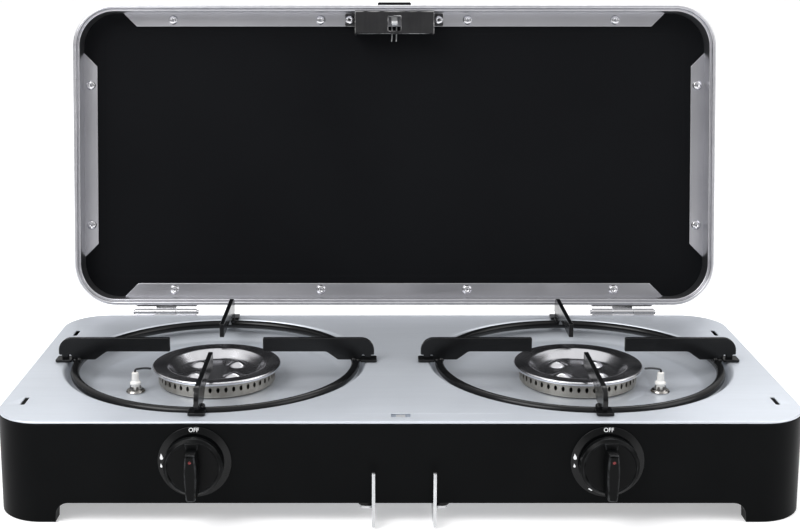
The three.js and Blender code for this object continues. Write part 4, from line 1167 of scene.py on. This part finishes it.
def makeLatchHook():
    size = latchSize
    rim = lidSize["rim"]
    back = lidFront + size["hookBack"]
    carrier = rim + size["carrierDepth"]
    tip = rim - size["hookDepth"]
    half = size["hookWidth"] / 2
    # a slide under the bracket, and a blade with its barb, drawn side on
    wide, narrow = size["carrierWidth"] / 2, half + 0.2
    start, shoulder, end = lidFront + size["tabProud"] + 0.3, lidFront + size["windowFront"], back + 1.2
    slideOutline, _ = roundPath([
        (-wide, start, 0.6), (wide, start, 0.6), (wide, shoulder, 1.2), (narrow, shoulder, 1.0),
        (narrow, end, 0.8), (-narrow, end, 0.8), (-narrow, shoulder, 1.0), (-wide, shoulder, 1.2)],
        stepDegrees=20)
    slide = slab(slideOutline, carrier, carrier + size["carrierSheet"], 0.3)
    blade, _ = roundPath([
        (back - size["hookSheet"], tip + 0.8, 0.8), (back + 0.6, tip, 0.6),
        (back + size["barb"], tip + 1.2, 0.5), (back + size["barb"], tip + 2.2, 0.3),
        (back, tip + 2.4, 0.3), (back, carrier + 1), (back - size["hookSheet"], carrier + 1)],
        stepDegrees=20)
    side = Matrix(((0, 0, 1, 0), (1, 0, 0, 0), (0, 1, 0, 0), (0, 0, 0, 1)))
    addTo(slide, slab(blade, -half, half, 0.35), side)
    makePiece("LatchHook", slide, lidPlace, zincSteel, "latch", ["latch_hook"])


def makeLatchTab():
    size = latchSize
    half = size["tabWidth"] / 2
    low = lidSize["rim"] + size["carrierDepth"] - 0.5
    proud, spacing = lidFront - size["tabProud"], size["ridgeSpacing"]
    pad = slab(rectangle(-half, half, proud + 0.1, lidFront + size["tabProud"], 1.4, 12),
               low, low + size["tabSheet"], 0.7)
    for i in range(-4, 5):  # finger ridges across the proud end
        ridge = slab(rectangle(i * spacing - 0.5, i * spacing + 0.5, proud + 0.9, lidFront - 0.4, 0.45, 30),
                     low - 0.35, low + 0.2, 0.3)
        addTo(pad, ridge)
    makePiece("LatchTab", pad, lidPlace, blackPlastic, "latch", ["latch_tab"])


def makeLatchSpring():
    size = latchSize
    z = lidSize["rim"] + size["carrierDepth"] + size["carrierSheet"] + 4
    near, far = lidFront + 9, lidFront + size["springReach"]
    line = smoothLine([(-2.4, far, z - 0.4), (-2.0, far - 6, z), (-2, near + 5, z), (-1.3, near + 1, z),
                       (0, near, z), (1.3, near + 1, z), (2, near + 5, z), (2.0, far - 6, z),
                       (1.6, far, z - 0.8)], 6)
    makePiece("LatchSpring", rod(line, size["wire"], 12), lidPlace, zincSteel, "lid",
              ["latch_spring"], weighted=False)


# hinges

hingeSize = {
    "width": 54, "knuckle": 3.1, "bore": 1.6, "pin": 1.3, "leaf": 1.2, "leafHeight": 20, "gap": 0.3,
    "rivetShare": 0.62,
}
alongX = Matrix.Rotation(pi / 2, 4, "Y")


def barrel(x0, x1, outer, bore):
    section = [(bore, 0), (outer, 0, 0.35), (outer, x1 - x0, 0.35), (bore, x1 - x0)]
    return addTo(newShape(), turned(section, 40), Matrix.Translation((x0, 0, 0)) @ alongX)


def makeHinge(name):
    size = hingeSize
    middle = middleOf("hinge_pin_" + name).x
    half, third, gap = size["width"] / 2, size["width"] / 3, size["gap"]
    inside = -hingeBack + gap
    leaf = size["leaf"]
    for label, upward, spans in (
            ("Base", -1, ((-half, -third / 2 - gap / 2), (third / 2 + gap / 2, half))),
            ("Lid", 1, ((-third / 2 + gap / 2, third / 2 - gap / 2),))):
        shape = newShape()
        web = sorted((upward * (size["knuckle"] - leaf), upward * size["knuckle"]))
        for x0, x1 in spans:
            addTo(shape, barrel(x0, x1, size["knuckle"], size["bore"]))
            addTo(shape, slab(rectangle(x0, x1, inside + 0.2, -1.2, 0.3), web[0], web[1], 0.2))
        inner, outer = size["knuckle"] - leaf, size["knuckle"] + size["leafHeight"]
        plateEnds = sorted((upward * inner, upward * outer))
        rivetUp = upward * (size["knuckle"] + size["leafHeight"] * 0.55)
        rivetsAt = (-half * size["rivetShare"], half * size["rivetShare"])
        holes = [circle(2.0, 24, x, rivetUp) for x in rivetsAt]
        stand = Matrix.Translation((0, inside + leaf, 0)) @ Matrix.Rotation(pi / 2, 4, "X")
        sheet = slab(rectangle(-half, half, plateEnds[0], plateEnds[1], 2.0, 20), 0, leaf, 0.25, holes)
        addTo(shape, sheet, stand)
        for x in rivetsAt:  # a domed rivet in each hole
            head = turned([(0.02, 0), (3.0, 0, 0.3), (2.6, 0.9, 0.6), (0.02, 1.3)], 28, closed=False)
            spot = Matrix.Translation((x, inside + leaf, rivetUp))
            addTo(shape, head, spot @ Matrix.Rotation(-pi / 2, 4, "X"))
        place = Matrix.Translation((middle, hingeAxis.y, hingeAxis.z))
        if upward > 0:
            place = place @ lidOpen
        makePiece(f"Hinge{label}_{name}", shape, place, chrome, "lid" if upward > 0 else "base",
                  [f"hinge_leaf_{label.lower()}_{name}"], sharp=50)
    pin = rod([(-half - 0.3, 0, 0), (half + 0.3, 0, 0)], size["pin"], 24, roundEnds=False)
    for end in (-1, 1):
        head = turned([(0.02, 0), (2.1, 0, 0.2), (2.1, 1.0, 0.5), (1.2, 1.5, 0.4), (0.02, 1.6)], 28,
                      closed=False)
        turn = Matrix.Rotation(end * pi / 2, 4, "Y")
        addTo(pin, head, Matrix.Translation((end * (half + gap), 0, 0)) @ turn)
    makePiece("HingePin_" + name, pin, Matrix.Translation((middle, hingeAxis.y, hingeAxis.z)), chrome,
              "base", ["hinge_pin_" + name])


# front hooks

hookSize = {
    "sheet": 2.2, "ahead": 12, "upright": 3.2, "top": 40, "back": 50, "flangeBase": 9, "under": 13.0,
    "flangeWidth": 8, "flangeSheet": 2, "flangeFront": 2, "flangeBack": 34,
}


def makeFrontHook(name, side):
    size = hookSize
    low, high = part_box("front_hook_" + name)
    edge = low.x if side > 0 else high.x
    middle = edge / mm + side * size["sheet"] / 2
    blade, _ = roundPath([
        (-size["ahead"], size["top"], 0.7), (-size["ahead"], 0.5, 3.4), (-size["ahead"] + 8, 0.9, 6),
        (size["back"], size["flangeBase"], 0.8), (size["back"], size["under"], 0.8),
        (-size["ahead"] + size["upright"], size["under"], 2.0),
        (-size["ahead"] + size["upright"], size["top"], 0.7)], stepDegrees=12)
    sideOn = Matrix(((0, 0, 1, middle - size["sheet"] / 2), (1, 0, 0, 0), (0, 1, 0, 0), (0, 0, 0, 1)))
    shape = addTo(newShape(), slab(blade, 0, size["sheet"], 0.4), sideOn)
    flange = sorted((middle, middle + side * (size["sheet"] / 2 + size["flangeWidth"])))
    outline = rectangle(flange[0], flange[1], size["flangeFront"], size["flangeBack"], 3)
    addTo(shape, slab(outline, size["flangeBase"], size["flangeBase"] + size["flangeSheet"], 0.35))
    makePiece("FrontHook_" + name, shape, stovePlace, zincSteel, "base",
              ["front_hook_" + name])
    padLow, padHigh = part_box("hook_pad_" + name)
    front, back = (padLow.y - frontY) / mm, (padHigh.y - frontY) / mm
    pad = slab(rectangle(padLow.x / mm, padHigh.x / mm, front, back, 3), padLow.z / mm, padHigh.z / mm, 0.5)
    makePiece("HookPad_" + name, pad, stovePlace, blackPlastic, "base",
              ["hook_pad_" + name])


# gas inlet, and the pieces inside that keep their own shape

nozzleSize = {"bore": 3, "pipe": 6, "neck": 4.6, "barbs": 3, "barbLength": 6, "hexNut": 8.95, "collar": 8.4}


def makeNozzle():
    size = nozzleSize
    low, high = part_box("hose_nozzle")
    start, back = (low.y - shellHigh.y) / mm, (high.y - shellHigh.y) / mm
    middle = (low + high) / 2
    place = Matrix.Translation((middle.x, shellHigh.y, middle.z)) @ Matrix.Rotation(-pi / 2, 4, "X")
    pipe, neck, length = size["pipe"], size["neck"], size["barbLength"]
    profile = [(size["bore"], start), (pipe, start), (pipe, 2.0, 0.4)]
    for i in range(size["barbs"]):
        y = 2.0 + i * length
        profile += [(neck, y + 0.2, 0.2), (pipe, y + 1.4, 0.3), (neck - 0.1, y + length, 0.2)]
    profile += [(size["bore"], back)]
    shape = turned(profile, 48)
    # a hex nut inside the wall and a round collar outside it
    for radius, corners, z0, z1 in ((size["hexNut"], 6, -9.5, -1.5), (size["collar"], 40, 0.05, 1.8)):
        addTo(shape, slab(circle(radius, corners), z0, z1, 0.5, [circle(pipe - 0.1, 32)]))
    makePiece("HoseNozzle", shape, place, brass, "base", ["hose_nozzle"], sharp=35)


def dressCadNode(node, material):
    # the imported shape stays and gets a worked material
    kept = frame["nodes"][node]
    kept.data.materials.clear()
    kept.data.materials.append(material)


def dressInside():
    dressCadNode("gas_pipe", plainSteel)
    for name in sides:
        for node, material in (("mixing_tube_", plainSteel), ("valve_body_", brass), ("jet_", brass),
                               ("igniter_", blackPlastic), ("ignition_lead_", whiteSleeve),
                               ("push_collar_", plainSteel), ("valve_stem_", brass)):
            dressCadNode(node + name, material)


# floor, light and camera

studio = {
    "floor": (0.86, 0.86, 0.87), "floorGlow": 0.35, "key": 26, "fill": 9, "rim": 16,
    "sky": 1.0, "horizon": 0.34, "darkBelow": 0.22, "brightAbove": 0.8,
}


def makeFloor():
    floor = bpy.data.meshes.new("Floor")
    floor.from_pydata([(-9, -9, 0), (9, -9, 0), (9, 9, 0), (-9, 9, 0)], [], [(0, 1, 2, 3)])
    piece = inScene("Floor", floor)
    piece.location.z = -0.0002
    material = bpy.data.materials.new("floorPaper")
    material.use_nodes = True
    shader = material.node_tree.nodes["Principled BSDF"]
    shader.inputs["Base Color"].default_value = rgba(studio["floor"])
    shader.inputs["Roughness"].default_value = 0.9
    shader.inputs["Specular IOR Level"].default_value = 0.1
    shader.inputs["Emission Color"].default_value = (1, 1, 1, 1)
    shader.inputs["Emission Strength"].default_value = studio["floorGlow"]
    floor.materials.append(material)


def makeWorld():
    world = bpy.data.worlds.new("studioWorld")
    bpy.context.scene.world = world
    world.use_nodes = True
    tree = world.node_tree
    background = tree.nodes["Background"]
    background.inputs["Strength"].default_value = 1.0
    place = addNode(tree, "TexCoord")
    parts = addNode(tree, "SeparateXYZ")
    tree.links.new(place.outputs["Generated"], parts.inputs[0])
    height = mapNode(tree, parts.outputs["Z"], studio["darkBelow"], studio["brightAbove"],
                     studio["horizon"], studio["sky"])
    seen = addNode(tree, "LightPath")
    mixed = addNode(tree, "Mix", data_type="FLOAT")
    tree.links.new(seen.outputs["Is Camera Ray"], mixed.inputs[0])
    tree.links.new(height, mixed.inputs[2])
    mixed.inputs[3].default_value = 1.0
    tree.links.new(mixed.outputs[0], background.inputs["Color"])


def areaLight(name, spot, target, power, width, height):
    data = bpy.data.lights.new(name, "AREA")
    data.shape = "RECTANGLE"
    data.size, data.size_y = width, height
    data.energy = power
    light = inScene(name, data)
    light.location = spot
    light.rotation_euler = (Vector(target) - Vector(spot)).to_track_quat("-Z", "Y").to_euler()


def makeLights():
    areaLight("KeyLight", (-1.1, -0.9, 1.5), (0, 0, 0.05), studio["key"], 1.2, 1.2)
    areaLight("FillLight", (1.5, -0.5, 1.0), (0, 0, 0.05), studio["fill"], 1.2, 1.2)
    areaLight("RimLight", (0.2, 1.3, 1.6), (0, 0, 0.1), studio["rim"], 1.8, 0.8)


cameraSize = {
    "x": -20.1, "ahead": 841.8, "height": 386.5, "pitch": 10.0, "lens": 58.92, "sensor": 36,
    "shiftX": 0.0357, "shiftY": -0.108,
}


def makeCamera():
    size = cameraSize
    data = bpy.data.cameras.new("Camera")
    data.lens = size["lens"]
    data.sensor_width = size["sensor"]
    data.shift_x = size["shiftX"]
    data.shift_y = size["shiftY"]
    data.clip_start = 0.02
    camera = inScene("Camera", data)
    camera.location = (size["x"] * mm, frontY - size["ahead"] * mm, size["height"] * mm)
    camera.rotation_euler = (radians(90 - size["pitch"]), 0, 0)
    bpy.context.scene.camera = camera


makeCamera()
makeFloor()
makeWorld()
makeLights()
bpy.context.scene.view_settings.view_transform = "Standard"
print("stage: camera, floor and lights in place")

makeSkirt()
makeTopPlate()
makeLatchPocket()
print("stage: casing made")
for name in sides:
    makeBurnerCup(name)
    makeBurnerCap(name)
    makeElectrode(name)
    makePanSupport(name)
print("stage: burners and pan supports made")
for name in sides:
    makeDial(name)
    makePrint(name)
    makeKnob(name)
print("stage: knobs and dials made")
makeLidFrame()
makeLidStrips()
makeLidPanel()
makeRivets()
makeLatchBracket()
makeLatchHook()
makeLatchTab()
makeLatchSpring()
for name in sides:
    makeHinge(name)
print("stage: lid, latch and hinges made")
for name, side in sides.items():
    makeFrontHook(name, side)
makeNozzle()
dressInside()
print("stage: hooks, inlet and inner pieces made")
